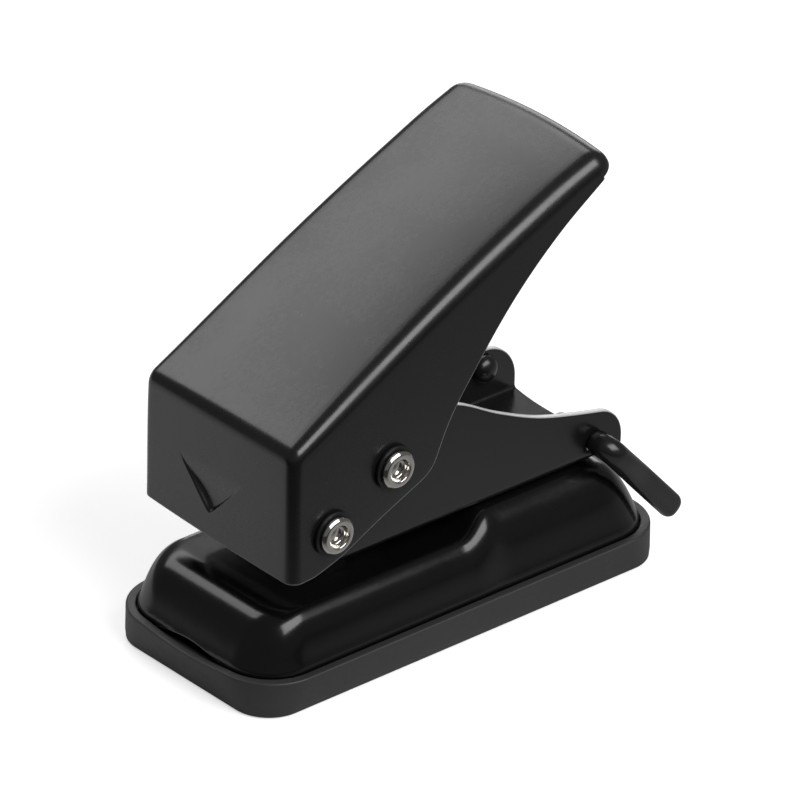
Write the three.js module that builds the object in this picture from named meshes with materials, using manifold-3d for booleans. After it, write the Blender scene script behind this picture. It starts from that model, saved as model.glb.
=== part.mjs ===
// Single-hole desk punch with a pressed-steel lever.
// Millimetres. +Z up, the paper goes in from -X, the lever's free end is at +X.
// The origin is on the underside of the tray, at its centre.

import * as THREE from 'three';
import { mergeVertices } from 'three/addons/utils/BufferGeometryUtils.js';
import Module from 'manifold-3d';

const wasm = await Module();
wasm.setup();

// ---------------------------------------------------------------- driving dimensions

const GAP = 0.3;
const SHEET = 1.4;

const TRAY_LENGTH = 104;
const TRAY_WIDTH = 47.75;
const TRAY_HEIGHT = 7.4;
const TRAY_CORNER = 10.7;
const TRAY_FLOOR = 1.6;
const TRAY_RIM_WIDTH = 1.875;
const TRAY_WALL = 3.3;
const TRAY_LEDGE_DEPTH = 1.5;
const PRY_HALF_WIDTH = 12;
const PRY_DIP = 0.9;
const PRY_RISE = 2.8;

const PAN_WALL = 1;
const PAN_SKIRT_BOTTOM = TRAY_HEIGHT - TRAY_LEDGE_DEPTH + GAP;
const PAN_HALF_LENGTH = TRAY_LENGTH / 2 - TRAY_RIM_WIDTH - GAP;
const PAN_HALF_WIDTH = TRAY_WIDTH / 2 - TRAY_RIM_WIDTH - GAP;
const PAN_CORNER = 8.5;
const FRONT_PLATEAU = 18.2;
const REAR_PLATEAU = 22.1;

const FRAME_HALF_WIDTH = 15.4;
const FRAME_BOTTOM = 22.5;
const FRAME_FRONT = -33;
const FRAME_REAR = 44.4;
const FRAME_BEND = 2.2;
const NEAR_EAR = { x: 37.7, z: 26, radius: 6.7, leadIn: 80, sweepZ: 34.2 };
const FAR_EAR = { x: 35.8, z: 26, radius: 8.6, leadIn: 88, sweepZ: 35.2 };
const PIVOT_BOSS_RADIUS = 6.7;

const PIVOT = new THREE.Vector2(-33.8, 35);
const DRIVE_RADIUS = 17.1;
const DRIVE_ANGLE = THREE.MathUtils.degToRad(31);
const DRIVE = new THREE.Vector2(
  PIVOT.x + DRIVE_RADIUS * Math.cos(DRIVE_ANGLE),
  PIVOT.y + DRIVE_RADIUS * Math.sin(DRIVE_ANGLE),
);
const LEVER_SWING = THREE.MathUtils.degToRad(30);

const LEVER_SHEET = 1.2;
const LEVER_FRONT = -43.5;
const LEVER_REAR = 35.8;
const LEVER_FOOT_Z = 27;
const LEVER_HALF_WIDTH = 21.75;
const LEVER_DRAFT = 0.0085;
const LEVER_BEND_WIDTH = 3.8;
const LEVER_BEND_HEIGHT = 4.2;
const LEVER_CROWN = 0.8;
const LEVER_REAR_RADIUS = 150;

const RIVET_RADIUS = 2.5;
const RIVET_BORE = 1.7;
const RIVET_FLANGE_RADIUS = 3.8;
const RIVET_END_Y = 23.9;
const RIVET_SEAT_Y = 22.9;
const WASHER_RADIUS = 4;
const WASHER_INNER_Y = 22;
const WASHER_OUTER_Y = 22.6;
const SPACER_RADIUS = 4;
const SPACER_OUTER_Y = 20.15;

const PUNCH_X = -18;
const PUNCH_RADIUS = 3;
const PUNCH_TIP = 22.9;
const PUNCH_HEAD_RADIUS = 5;
const PUNCH_HEAD_HEIGHT = 2.2;
const PUNCH_TOP = DRIVE.y - RIVET_RADIUS - GAP;
const PUNCH_SADDLE_RADIUS = 4;
const GUIDE_RADIUS = 5;
const GUIDE_FLANGE_RADIUS = 6.6;
const GUIDE_FLANGE_HEIGHT = 1.2;
const DIE_RADIUS = 5.5;
const DIE_COLLAR_RADIUS = 6.6;
const DIE_BOTTOM = 15.2;

const SPRING_WIRE = 0.45;
const SPRING_RADIUS = 4.1;
const SPRING_TURNS = 4.5;

const FRAME_RIVET_RADIUS = 1.5;
const FRAME_RIVET_HEAD_RADIUS = 3;
const FRAME_RIVET_HEAD_HEIGHT = 1.2;

const ARM_PIVOT = new THREE.Vector2(37.6, 26.8);
const ARM_END = new THREE.Vector2(55.2, 7.9);
const ARM_ROD_RADIUS = 1.95;
const ARM_ROD_INNER_Y = -4;
const ARM_PADDLE_HALF_WIDTH = 2.6;
const ARM_PADDLE_NEAR_Y = -20.2;
const ARM_PADDLE_FAR_Y = -16.9;
const CLIP_RADIUS = 3.4;
const CLIP_WIDTH = 1;
const CLIP_MOUTH_Z = 25.3;

const STUD = new THREE.Vector2(35, 31.2);
const STUD_RADIUS = 2.9;
const STUD_SHANK_RADIUS = 1.5;
const STUD_RISE = 2.4;

const ROUND_STEPS = 24;
const CORNER_STEPS = 6;
const CURVE_STEPS = 5;

// ---------------------------------------------------------------- materials

const FINISHES = {
  satin_black_paint: { color: 0x1b1b1d, roughness: 0.42, metalness: 0.0 },
  gloss_black_paint: { color: 0x08080a, roughness: 0.12, metalness: 0.0 },
  black_plastic: { color: 0x232326, roughness: 0.62, metalness: 0.0 },
  black_nylon: { color: 0x101012, roughness: 0.5, metalness: 0.0 },
  nickel_plate: { color: 0xc9c6bd, roughness: 0.22, metalness: 1.0 },
  hardened_steel: { color: 0x9a9a9c, roughness: 0.3, metalness: 1.0 },
  spring_steel: { color: 0x8c8c90, roughness: 0.35, metalness: 1.0 },
};

// ---------------------------------------------------------------- solids and meshes

/** Turns a closed three.js geometry into a solid that can be cut and joined. */
function toSolid(geometry) {
  geometry.deleteAttribute('normal');
  geometry.deleteAttribute('uv');
  const merged = mergeVertices(geometry);
  return new wasm.Manifold(new wasm.Mesh({
    numProp: 3,
    vertProperties: Float32Array.from(merged.attributes.position.array),
    triVerts: Uint32Array.from(merged.index.array),
  }));
}

/** Turns a solid back into a three.js geometry. */
function toGeometry(solid) {
  const mesh = solid.getMesh();
  const geometry = new THREE.BufferGeometry();
  geometry.setAttribute('position', new THREE.BufferAttribute(mesh.vertProperties, 3));
  geometry.setIndex(new THREE.BufferAttribute(mesh.triVerts, 1));
  geometry.computeVertexNormals();
  return geometry;
}

/** Makes the named mesh of one sub-part. */
function makeMesh(name, finish, solid) {
  const mesh = new THREE.Mesh(toGeometry(solid), new THREE.MeshStandardMaterial(FINISHES[finish]));
  mesh.name = name;
  return mesh;
}

const AXIS_X = new THREE.Vector3(1, 0, 0);
const AXIS_Y = new THREE.Vector3(0, 1, 0);
const AXIS_Z = new THREE.Vector3(0, 0, 1);
const SIDE_VIEW = new THREE.Matrix4().makeBasis(AXIS_X, AXIS_Z, AXIS_Y.clone().negate());
const END_VIEW = new THREE.Matrix4().makeBasis(AXIS_Y, AXIS_Z, AXIS_X);

/** Extrudes a shape drawn in (x, y) from z = low to z = high. */
function prismAlongZ(shape, low, high) {
  const settings = { depth: high - low, bevelEnabled: false, curveSegments: CURVE_STEPS };
  return new THREE.ExtrudeGeometry(shape, settings).translate(0, 0, low);
}

/** Extrudes a shape drawn in (x, z) from y = low to y = high. */
function prismAlongY(shape, low, high) {
  return prismAlongZ(shape, -high, -low).applyMatrix4(SIDE_VIEW);
}

/** Extrudes a shape drawn in (y, z) from x = low to x = high. */
function prismAlongX(shape, low, high) {
  return prismAlongZ(shape, low, high).applyMatrix4(END_VIEW);
}

/** A round rod along Y, centred at (x, z). */
function rodAlongY(centre, radius, low, high) {
  const rod = new THREE.CylinderGeometry(radius, radius, high - low, ROUND_STEPS);
  return toSolid(rod.translate(centre.x, (low + high) / 2, centre.y));
}

/** A round rod along Z, centred at (x, y). */
function rodAlongZ(x, y, radius, low, high) {
  const rod = new THREE.CylinderGeometry(radius, radius, high - low, ROUND_STEPS);
  return toSolid(rod.rotateX(Math.PI / 2).translate(x, y, (low + high) / 2));
}

/** Revolves a profile of [radius, height] pairs about the Y axis. */
function turnedAboutY(profile) {
  const points = profile.map(([radius, height]) => new THREE.Vector2(radius, height));
  return new THREE.LatheGeometry(points, ROUND_STEPS);
}

/** Revolves a profile of [radius, height] pairs about the Z axis. */
function turnedAboutZ(profile) {
  return turnedAboutY(profile).rotateX(Math.PI / 2);
}

/** Reads a smooth curve through [x, height] knots at x, by cubic steps between the knots. */
function heightAt(knots, x) {
  const last = knots.length - 2;
  const found = knots.findIndex((knot, i) => i <= last && x <= knots[i + 1][0]);
  const i = found < 0 ? last : found;
  const slope = (a, b) => (knots[b][1] - knots[a][1]) / (knots[b][0] - knots[a][0]);
  const width = knots[i + 1][0] - knots[i][0];
  const startSlope = i > 0 ? slope(i - 1, i + 1) : slope(i, i + 1);
  const endSlope = i < last ? slope(i, i + 2) : slope(i, i + 1);
  const t = (x - knots[i][0]) / width;
  const rise = knots[i + 1][1] - knots[i][1];
  const blend = t * t * (3 - 2 * t);
  const lead = (t - 2 * t * t + t * t * t) * startSlope * width;
  const tail = (t * t * t - t * t) * endSlope * width;
  return knots[i][1] + rise * blend + lead + tail;
}

/** Closed solid through a row of equal rings; flatten gives a ring point's place in its plane. */
function loft(rings, flatten) {
  const count = rings[0].length;
  const index = [];
  for (let ring = 0; ring < rings.length - 1; ring += 1) {
    for (let i = 0; i < count; i += 1) {
      const here = ring * count + i;
      const next = ring * count + ((i + 1) % count);
      index.push(here, next, next + count, here, next + count, here + count);
    }
  }
  const cap = THREE.ShapeUtils.triangulateShape(rings[0].map(flatten), []);
  const top = (rings.length - 1) * count;
  for (const [a, b, c] of cap) {
    index.push(c, b, a);
    index.push(top + a, top + b, top + c);
  }
  const geometry = new THREE.BufferGeometry();
  geometry.setFromPoints(rings.flat());
  geometry.setIndex(index);
  return geometry;
}

/** Points of a rounded rectangle at one height, counter-clockwise seen from above. */
function roundedRing({ z, front, rear, halfWidth, corner }) {
  const centres = [
    [rear - corner, halfWidth - corner],
    [front + corner, halfWidth - corner],
    [front + corner, corner - halfWidth],
    [rear - corner, corner - halfWidth],
  ];
  return centres.flatMap(([x, y], quarter) => {
    const arc = [];
    for (let step = 0; step <= CORNER_STEPS; step += 1) {
      const angle = (quarter + step / CORNER_STEPS) * (Math.PI / 2);
      arc.push(new THREE.Vector3(x + corner * Math.cos(angle), y + corner * Math.sin(angle), z));
    }
    return arc;
  });
}

/** Solid through rounded rectangles stacked upwards. */
function roundedStack(levels) {
  return toSolid(loft(levels.map(roundedRing), (point) => new THREE.Vector2(point.x, point.y)));
}

// ---------------------------------------------------------------- base

/** One level of the tray, drawn in from its rim outline by the given inset. */
function trayLevel(z, inset) {
  return {
    z,
    front: inset - TRAY_LENGTH / 2,
    rear: TRAY_LENGTH / 2 - inset,
    halfWidth: TRAY_WIDTH / 2 - inset,
    corner: TRAY_CORNER - 0.9 * inset,
  };
}

/** Shallow arched cutter across the front edge: width, then how far the arch goes. */
function pryCutter(baseZ, archZ, sideZ, low, high) {
  const shape = new THREE.Shape();
  shape.moveTo(-PRY_HALF_WIDTH, baseZ);
  shape.quadraticCurveTo(0, 2 * archZ - baseZ, PRY_HALF_WIDTH, baseZ);
  shape.lineTo(PRY_HALF_WIDTH, sideZ);
  shape.lineTo(-PRY_HALF_WIDTH, sideZ);
  return toSolid(prismAlongX(shape, low, high));
}

/** Moulded tray: drafted walls, a flat floor and a ledge that the pan's skirt sits on. */
function buildTray() {
  const outside = roundedStack([
    trayLevel(0, 1.6),
    trayLevel(0.6, 1.2),
    trayLevel(2.6, 0.8),
    trayLevel(TRAY_HEIGHT - 0.3, 0.05),
    trayLevel(TRAY_HEIGHT, 0.3),
  ]);
  const hollow = roundedStack([
    trayLevel(TRAY_FLOOR, TRAY_WALL + 0.5),
    trayLevel(TRAY_HEIGHT, TRAY_WALL),
  ]);
  const rebate = roundedStack([
    trayLevel(TRAY_HEIGHT - TRAY_LEDGE_DEPTH, TRAY_RIM_WIDTH),
    trayLevel(TRAY_HEIGHT + 1, TRAY_RIM_WIDTH),
  ]);
  const dip = pryCutter(TRAY_HEIGHT, TRAY_HEIGHT - PRY_DIP, TRAY_HEIGHT + 1, -TRAY_LENGTH, -47);
  return outside.subtract(hollow).subtract(rebate).subtract(dip);
}

// Outline of the pan at rising heights: [height, front x, rear x, half width].
const PAN_SKIRT_LEVELS = [
  [PAN_SKIRT_BOTTOM, -PAN_HALF_LENGTH, PAN_HALF_LENGTH, PAN_HALF_WIDTH],
  [8, -PAN_HALF_LENGTH, PAN_HALF_LENGTH, PAN_HALF_WIDTH],
  [10, -47.5, 48.9, 20.9],
  [12, -44.7, 48.1, 20.4],
  [14, -42.4, 47, 19.9],
];
const PAN_FRONT_LEVELS = [
  [16, -40.6, 45.4, 18.9],
  [17.4, -38.9, 44.2, 17.5],
  [FRONT_PLATEAU, -36.6, 43.2, 15.4],
];
const PAN_REAR_LEVELS = [
  [14, 0, 47, 19.9],
  [16, 0.6, 45.8, 19.5],
  [FRONT_PLATEAU, 2.9, 44, 18.7],
  [20, 5.4, 41.8, 17.3],
  [21.4, 7.2, 39, 15.2],
  [REAR_PLATEAU, 9.1, 36, 13],
];

/** Turns pan levels into ring sizes, moved inwards by the wall for the inside. */
function panRings(levels, inset) {
  return levels.map(([z, front, rear, halfWidth]) => ({
    z: z - inset,
    front: front + inset,
    rear: rear - inset,
    halfWidth: halfWidth - inset,
    corner: Math.max(PAN_CORNER - inset, 1),
  }));
}

/** The pan's full body: a low front block with the rear block standing on it. */
function panBody(inset) {
  const low = roundedStack(panRings([...PAN_SKIRT_LEVELS, ...PAN_FRONT_LEVELS], inset));
  const high = roundedStack(panRings(PAN_REAR_LEVELS, inset));
  return low.add(high);
}

/** Deep-drawn steel pan, open below, with the holes for the die and the frame rivets. */
function buildPan() {
  const arch = PAN_SKIRT_BOTTOM + PRY_RISE;
  const below = PAN_SKIRT_BOTTOM - 2 * PAN_WALL;
  let pan = panBody(0).subtract(panBody(PAN_WALL));
  pan = pan.subtract(pryCutter(PAN_SKIRT_BOTTOM, arch, below, -TRAY_LENGTH, -46));
  pan = pan.subtract(rodAlongZ(PUNCH_X, 0, DIE_RADIUS + GAP, DIE_BOTTOM, REAR_PLATEAU));
  for (const { x, y } of FRAME_RIVETS) {
    pan = pan.subtract(rodAlongZ(x, y, FRAME_RIVET_RADIUS + GAP, DIE_BOTTOM, FRAME_BOTTOM));
  }
  return pan;
}

/** Hardened ring staked into the front plateau, with a collar under the plate. */
function buildDieRing() {
  const collarTop = FRONT_PLATEAU - PAN_WALL - GAP;
  const bore = PUNCH_RADIUS + GAP;
  const profile = [
    [bore, DIE_BOTTOM],
    [DIE_COLLAR_RADIUS, DIE_BOTTOM],
    [DIE_COLLAR_RADIUS, collarTop],
    [DIE_RADIUS, collarTop],
    [DIE_RADIUS, FRONT_PLATEAU],
    [bore, FRONT_PLATEAU],
    [bore, DIE_BOTTOM],
  ];
  return toSolid(turnedAboutZ(profile).translate(PUNCH_X, 0, 0));
}

const FRAME_RIVETS = [
  { name: 'frame_rivet_near', x: 14, y: -9 },
  { name: 'frame_rivet_far', x: 14, y: 9 },
  { name: 'frame_rivet_rear', x: 31, y: 0 },
];

/** Solid rivet from inside the frame's floor down through the rear plateau. */
function buildFrameRivet({ x, y }) {
  const headBottom = FRAME_BOTTOM + SHEET + GAP;
  const headTop = headBottom + FRAME_RIVET_HEAD_HEIGHT;
  const tailTop = REAR_PLATEAU - PAN_WALL - GAP;
  const tailBottom = tailTop - FRAME_RIVET_HEAD_HEIGHT;
  const profile = [
    [0, tailBottom],
    [0.8 * FRAME_RIVET_HEAD_RADIUS, tailBottom],
    [FRAME_RIVET_HEAD_RADIUS, tailTop],
    [FRAME_RIVET_RADIUS, tailTop],
    [FRAME_RIVET_RADIUS, headBottom],
    [FRAME_RIVET_HEAD_RADIUS, headBottom],
    [0.8 * FRAME_RIVET_HEAD_RADIUS, headBottom + 0.7 * FRAME_RIVET_HEAD_HEIGHT],
    [0, headTop],
  ];
  return toSolid(turnedAboutZ(profile).translate(x, y, 0));
}

// ---------------------------------------------------------------- frame

/** Side outline of the frame: round boss at the pivot, hollow sweep down to a round ear. */
function frameSideShape(ear) {
  const shape = new THREE.Shape();
  const leadIn = THREE.MathUtils.degToRad(ear.leadIn);
  shape.moveTo(FRAME_FRONT, FRAME_BOTTOM);
  shape.lineTo(FRAME_REAR, FRAME_BOTTOM);
  shape.absarc(ear.x, ear.z, ear.radius, 0, leadIn, false);
  shape.splineThru([
    new THREE.Vector2(31.2, ear.sweepZ),
    new THREE.Vector2(23, 36.7),
    new THREE.Vector2(12.7, 41.2),
    new THREE.Vector2(2.5, 46.6),
    new THREE.Vector2(-8, 49.6),
    new THREE.Vector2(-20, 48.6),
    new THREE.Vector2(-29, 44.4),
  ]);
  shape.absarc(
    PIVOT.x, PIVOT.y, PIVOT_BOSS_RADIUS,
    THREE.MathUtils.degToRad(105), THREE.MathUtils.degToRad(200), false,
  );
  return shape;
}

/** Cross-section of the channel, drawn in (y, z): a floor, two walls and rounded bends. */
function channelShape() {
  const outer = FRAME_HALF_WIDTH;
  const inner = outer - SHEET;
  const floor = FRAME_BOTTOM + SHEET;
  const top = 60;
  const innerBend = FRAME_BEND - SHEET;
  const shape = new THREE.Shape();
  shape.moveTo(outer, top);
  shape.lineTo(inner, top);
  shape.absarc(inner - innerBend, floor + innerBend, innerBend, 0, -Math.PI / 2, true);
  shape.absarc(innerBend - inner, floor + innerBend, innerBend, -Math.PI / 2, -Math.PI, true);
  shape.lineTo(-inner, top);
  shape.lineTo(-outer, top);
  shape.absarc(FRAME_BEND - outer, FRAME_BOTTOM + FRAME_BEND, FRAME_BEND, Math.PI, 1.5 * Math.PI, false);
  shape.absarc(outer - FRAME_BEND, FRAME_BOTTOM + FRAME_BEND, FRAME_BEND, 1.5 * Math.PI, 2 * Math.PI, false);
  return shape;
}

/** Curved slot that the drive rivet sweeps, as a ring sector with round ends. */
function driveSlotShape() {
  const halfWidth = RIVET_RADIUS + GAP;
  const slack = THREE.MathUtils.degToRad(0.6);
  const top = DRIVE_ANGLE + slack;
  const bottom = DRIVE_ANGLE - LEVER_SWING - slack;
  const endCentre = (angle) => [
    PIVOT.x + DRIVE_RADIUS * Math.cos(angle),
    PIVOT.y + DRIVE_RADIUS * Math.sin(angle),
  ];
  const shape = new THREE.Shape();
  shape.absarc(PIVOT.x, PIVOT.y, DRIVE_RADIUS + halfWidth, bottom, top, false);
  shape.absarc(...endCentre(top), halfWidth, top, top + Math.PI, false);
  shape.absarc(PIVOT.x, PIVOT.y, DRIVE_RADIUS - halfWidth, top, bottom, true);
  shape.absarc(...endCentre(bottom), halfWidth, bottom + Math.PI, bottom + 2 * Math.PI, false);
  return shape;
}

/** U-channel of sheet steel with its pivot holes, drive slots, guide hole and rivet holes. */
function buildFrame() {
  const wide = FRAME_HALF_WIDTH + 1;
  const nearSide = toSolid(prismAlongY(frameSideShape(NEAR_EAR), -wide, 0));
  const farSide = toSolid(prismAlongY(frameSideShape(FAR_EAR), 0, wide));
  const sides = nearSide.add(farSide);
  const channel = toSolid(prismAlongX(channelShape(), -TRAY_LENGTH / 2, TRAY_LENGTH / 2));
  let frame = channel.intersect(sides);
  frame = frame.subtract(rodAlongY(PIVOT, RIVET_RADIUS + GAP, -wide, wide));
  frame = frame.subtract(toSolid(prismAlongY(driveSlotShape(), -wide, wide)));
  frame = frame.subtract(rodAlongZ(PUNCH_X, 0, GUIDE_RADIUS + GAP, FRAME_BOTTOM - 1, FRAME_BOTTOM + 2 * SHEET));
  frame = frame.subtract(rodAlongY(ARM_PIVOT, ARM_ROD_RADIUS + GAP, -wide, 0));
  frame = frame.subtract(rodAlongY(STUD, STUD_SHANK_RADIUS + GAP, 0, wide));
  for (const { x, y } of FRAME_RIVETS) {
    frame = frame.subtract(rodAlongZ(x, y, FRAME_RIVET_RADIUS + GAP, FRAME_BOTTOM - 1, FRAME_BOTTOM + 2 * SHEET));
  }
  return frame;
}

// ---------------------------------------------------------------- lever

// Lower edge of the lever's side walls, then the line where the side turns into the top.
const LEVER_EDGE_FRONT = [[LEVER_FRONT, 26.6], [-39.5, 26.3], [-32.1, 29.1], [-22.4, 33.8], [-9.5, 39.6]];
const LEVER_EDGE_REAR = [[-9.5, 39.6], [-5.5, 48.4], [1.6, 58.5], [11.8, 70.6], [21.5, 79.6], [LEVER_REAR, 87.4]];
const LEVER_BEND_LINE = [
  [LEVER_FRONT, 48.4], [-37.4, 52.4], [-25.1, 60.2], [-5.9, 70.9],
  [14, 80.7], [24.2, 85.2], [30, 87.6], [32.6, 87.9], [LEVER_REAR, 86.6],
];

/** Height of the lower edge of the lever's side wall at x. */
function leverEdge(x) {
  return heightAt(x < LEVER_EDGE_REAR[0][0] ? LEVER_EDGE_FRONT : LEVER_EDGE_REAR, x);
}

/** Half of the lever's width at a height; the walls lean in slightly towards the top. */
function leverHalfWidth(z) {
  return LEVER_HALF_WIDTH - LEVER_DRAFT * (z - LEVER_FOOT_Z);
}

/** One half of the lever's section at x, from the lower edge up to the middle of the top. */
function leverHalfSection(x, edge, inset) {
  const bendZ = heightAt(LEVER_BEND_LINE, x);
  const bendHalf = leverHalfWidth(bendZ);
  const flat = bendHalf - LEVER_BEND_WIDTH;
  const bendSteps = 4;
  const topSteps = 3;
  const half = [new THREE.Vector3(x, leverHalfWidth(edge) - inset, edge)];
  for (let step = 0; step < bendSteps; step += 1) {
    const angle = (step / bendSteps) * (Math.PI / 2);
    const y = flat + (LEVER_BEND_WIDTH - inset) * Math.cos(angle);
    const z = bendZ + (LEVER_BEND_HEIGHT - inset) * Math.sin(angle);
    half.push(new THREE.Vector3(x, y, z));
  }
  for (let step = 0; step <= topSteps; step += 1) {
    const y = flat * (1 - step / topSteps);
    const z = bendZ + LEVER_BEND_HEIGHT - inset + LEVER_CROWN * (1 - (y / flat) ** 2);
    half.push(new THREE.Vector3(x, y, z));
  }
  return half;
}

/** Mirrors a half-section across the middle and joins both into one open line. */
function fullSection(half) {
  const mirrored = half.slice(0, -1).reverse();
  return [...half, ...mirrored.map((point) => new THREE.Vector3(point.x, -point.y, point.z))];
}

/** Channel ring of the lever at x: the outside line and back along the inside line. */
function leverRing(x) {
  const edge = leverEdge(x);
  const outside = fullSection(leverHalfSection(x, edge, 0));
  const inside = fullSection(leverHalfSection(x, edge, LEVER_SHEET));
  return [...outside, ...inside.reverse()];
}

/** The lever seen from above: square at the front, a shallow arc across the rear. */
function leverPlanShape() {
  const half = LEVER_HALF_WIDTH + 2;
  const steps = 12;
  const shape = new THREE.Shape();
  shape.moveTo(2 * LEVER_FRONT, -half);
  for (let step = 0; step <= steps; step += 1) {
    const y = half * ((2 * step) / steps - 1);
    const fallBack = LEVER_REAR_RADIUS - Math.sqrt(LEVER_REAR_RADIUS ** 2 - y ** 2);
    shape.lineTo(LEVER_REAR - fallBack, y);
  }
  shape.lineTo(2 * LEVER_FRONT, half);
  return shape;
}

/** Pressed-steel lever: an inverted channel with a closed front and a rounded rear edge. */
function buildLever() {
  const flatten = (point) => new THREE.Vector2(point.y, point.z);
  const stations = [
    LEVER_FRONT, -39.8, -36, -32, -27, -22, -17, -13, -9.5, -8, -6.5, -5, -3, -1,
    1.6, 4.6, 8, 11, 14.5, 18, 22, 26, 30.5, LEVER_REAR,
  ];
  const channel = toSolid(loft(stations.map(leverRing), flatten));
  const frontFace = (x) => fullSection(leverHalfSection(x, LEVER_FOOT_Z, 0));
  const frontEdges = [frontFace(LEVER_FRONT), frontFace(LEVER_FRONT + LEVER_SHEET)];
  const front = toSolid(loft(frontEdges, flatten));
  const wide = 30;
  let lever = channel.add(front).intersect(toSolid(prismAlongZ(leverPlanShape(), 0, 2 * TRAY_LENGTH)));
  lever = lever.subtract(rodAlongY(PIVOT, RIVET_RADIUS + GAP, -wide, wide));
  lever = lever.subtract(rodAlongY(DRIVE, RIVET_RADIUS + GAP, -wide, wide));
  return lever;
}

// ---------------------------------------------------------------- rivets, washers, spacers

/** Semi-tubular rivet along Y: rolled open end on the near side, low dome on the far side. */
function buildLeverRivet(centre) {
  const profile = [
    [0, -14],
    [RIVET_BORE, -14.6],
    [RIVET_BORE, -21.6],
    [2, -22.9],
    [2.5, -23.6],
    [2.95, -RIVET_END_Y],
    [3.45, -23.75],
    [RIVET_FLANGE_RADIUS, -23.3],
    [RIVET_FLANGE_RADIUS - 0.1, -RIVET_SEAT_Y],
    [RIVET_RADIUS, -RIVET_SEAT_Y],
    [RIVET_RADIUS, RIVET_SEAT_Y],
    [RIVET_FLANGE_RADIUS, RIVET_SEAT_Y],
    [RIVET_FLANGE_RADIUS - 0.3, 23.4],
    [2.4, 23.75],
    [0, RIVET_END_Y],
  ];
  return toSolid(turnedAboutY(profile).translate(centre.x, 0, centre.y));
}

/** Flat ring around a lever rivet between two heights along Y. */
function buildRing(centre, radius, low, high) {
  const bore = RIVET_RADIUS + GAP;
  const profile = [[bore, low], [radius, low], [radius, high], [bore, high], [bore, low]];
  return toSolid(turnedAboutY(profile).translate(centre.x, 0, centre.y));
}

/** Washers and spacers of one lever rivet, on both sides, as name and solid pairs. */
function buildRivetRings(prefix, centre) {
  const spacerInner = FRAME_HALF_WIDTH + GAP;
  return [
    [`${prefix}_washer_near`, buildRing(centre, WASHER_RADIUS, -WASHER_OUTER_Y, -WASHER_INNER_Y)],
    [`${prefix}_washer_far`, buildRing(centre, WASHER_RADIUS, WASHER_INNER_Y, WASHER_OUTER_Y)],
    [`${prefix}_spacer_near`, buildRing(centre, SPACER_RADIUS, -SPACER_OUTER_Y, -spacerInner)],
    [`${prefix}_spacer_far`, buildRing(centre, SPACER_RADIUS, spacerInner, SPACER_OUTER_Y)],
  ];
}

// ---------------------------------------------------------------- punch

/** Cutter pin: flat head above, round shank, and a saddle-cut tip that shears from two points. */
function buildPunchPin() {
  const headBottom = PUNCH_TOP - PUNCH_HEAD_HEIGHT;
  const profile = [
    [0, PUNCH_TIP],
    [PUNCH_RADIUS, PUNCH_TIP],
    [PUNCH_RADIUS, headBottom],
    [PUNCH_HEAD_RADIUS, headBottom],
    [PUNCH_HEAD_RADIUS, PUNCH_TOP - 0.4],
    [PUNCH_HEAD_RADIUS - 0.4, PUNCH_TOP],
    [0, PUNCH_TOP],
  ];
  const pin = toSolid(turnedAboutZ(profile).translate(PUNCH_X, 0, 0));
  const saddleDepth = 1.2;
  const saddleCentre = new THREE.Vector2(PUNCH_X, PUNCH_TIP - PUNCH_SADDLE_RADIUS + saddleDepth);
  return pin.subtract(rodAlongY(saddleCentre, PUNCH_SADDLE_RADIUS, -PUNCH_HEAD_RADIUS, PUNCH_HEAD_RADIUS));
}

const GUIDE_FLANGE_BOTTOM = FRAME_BOTTOM + SHEET + GAP;
const GUIDE_TOP = GUIDE_FLANGE_BOTTOM + GUIDE_FLANGE_HEIGHT;

/** Flanged bush that stands in the frame's floor and guides the cutter. */
function buildPunchGuide() {
  const bore = PUNCH_RADIUS + GAP;
  const profile = [
    [bore, FRAME_BOTTOM],
    [GUIDE_RADIUS, FRAME_BOTTOM],
    [GUIDE_RADIUS, GUIDE_FLANGE_BOTTOM],
    [GUIDE_FLANGE_RADIUS, GUIDE_FLANGE_BOTTOM],
    [GUIDE_FLANGE_RADIUS, GUIDE_TOP],
    [bore, GUIDE_TOP],
    [bore, FRAME_BOTTOM],
  ];
  return toSolid(turnedAboutZ(profile).translate(PUNCH_X, 0, 0));
}

/** Helix about the Z axis, from one height to another. */
class Helix extends THREE.Curve {
  constructor(radius, turns, low, high) {
    super();
    this.radius = radius;
    this.turns = turns;
    this.low = low;
    this.high = high;
  }

  getPoint(t, target = new THREE.Vector3()) {
    const angle = 2 * Math.PI * this.turns * t;
    const z = THREE.MathUtils.lerp(this.low, this.high, t);
    return target.set(this.radius * Math.cos(angle), this.radius * Math.sin(angle), z);
  }
}

/** Compression spring between the guide's flange and the underside of the cutter's head. */
function buildReturnSpring() {
  const low = GUIDE_TOP + SPRING_WIRE + GAP;
  const high = PUNCH_TOP - PUNCH_HEAD_HEIGHT - SPRING_WIRE - GAP;
  const helix = new Helix(SPRING_RADIUS, SPRING_TURNS, low, high);
  const section = new THREE.Shape();
  section.absarc(0, 0, SPRING_WIRE, 0, 2 * Math.PI, false);
  const settings = { extrudePath: helix, steps: 20 * SPRING_TURNS, curveSegments: 4 };
  return toSolid(new THREE.ExtrudeGeometry(section, settings).translate(PUNCH_X, 0, 0));
}

// ---------------------------------------------------------------- lock arm and ear stud

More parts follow.
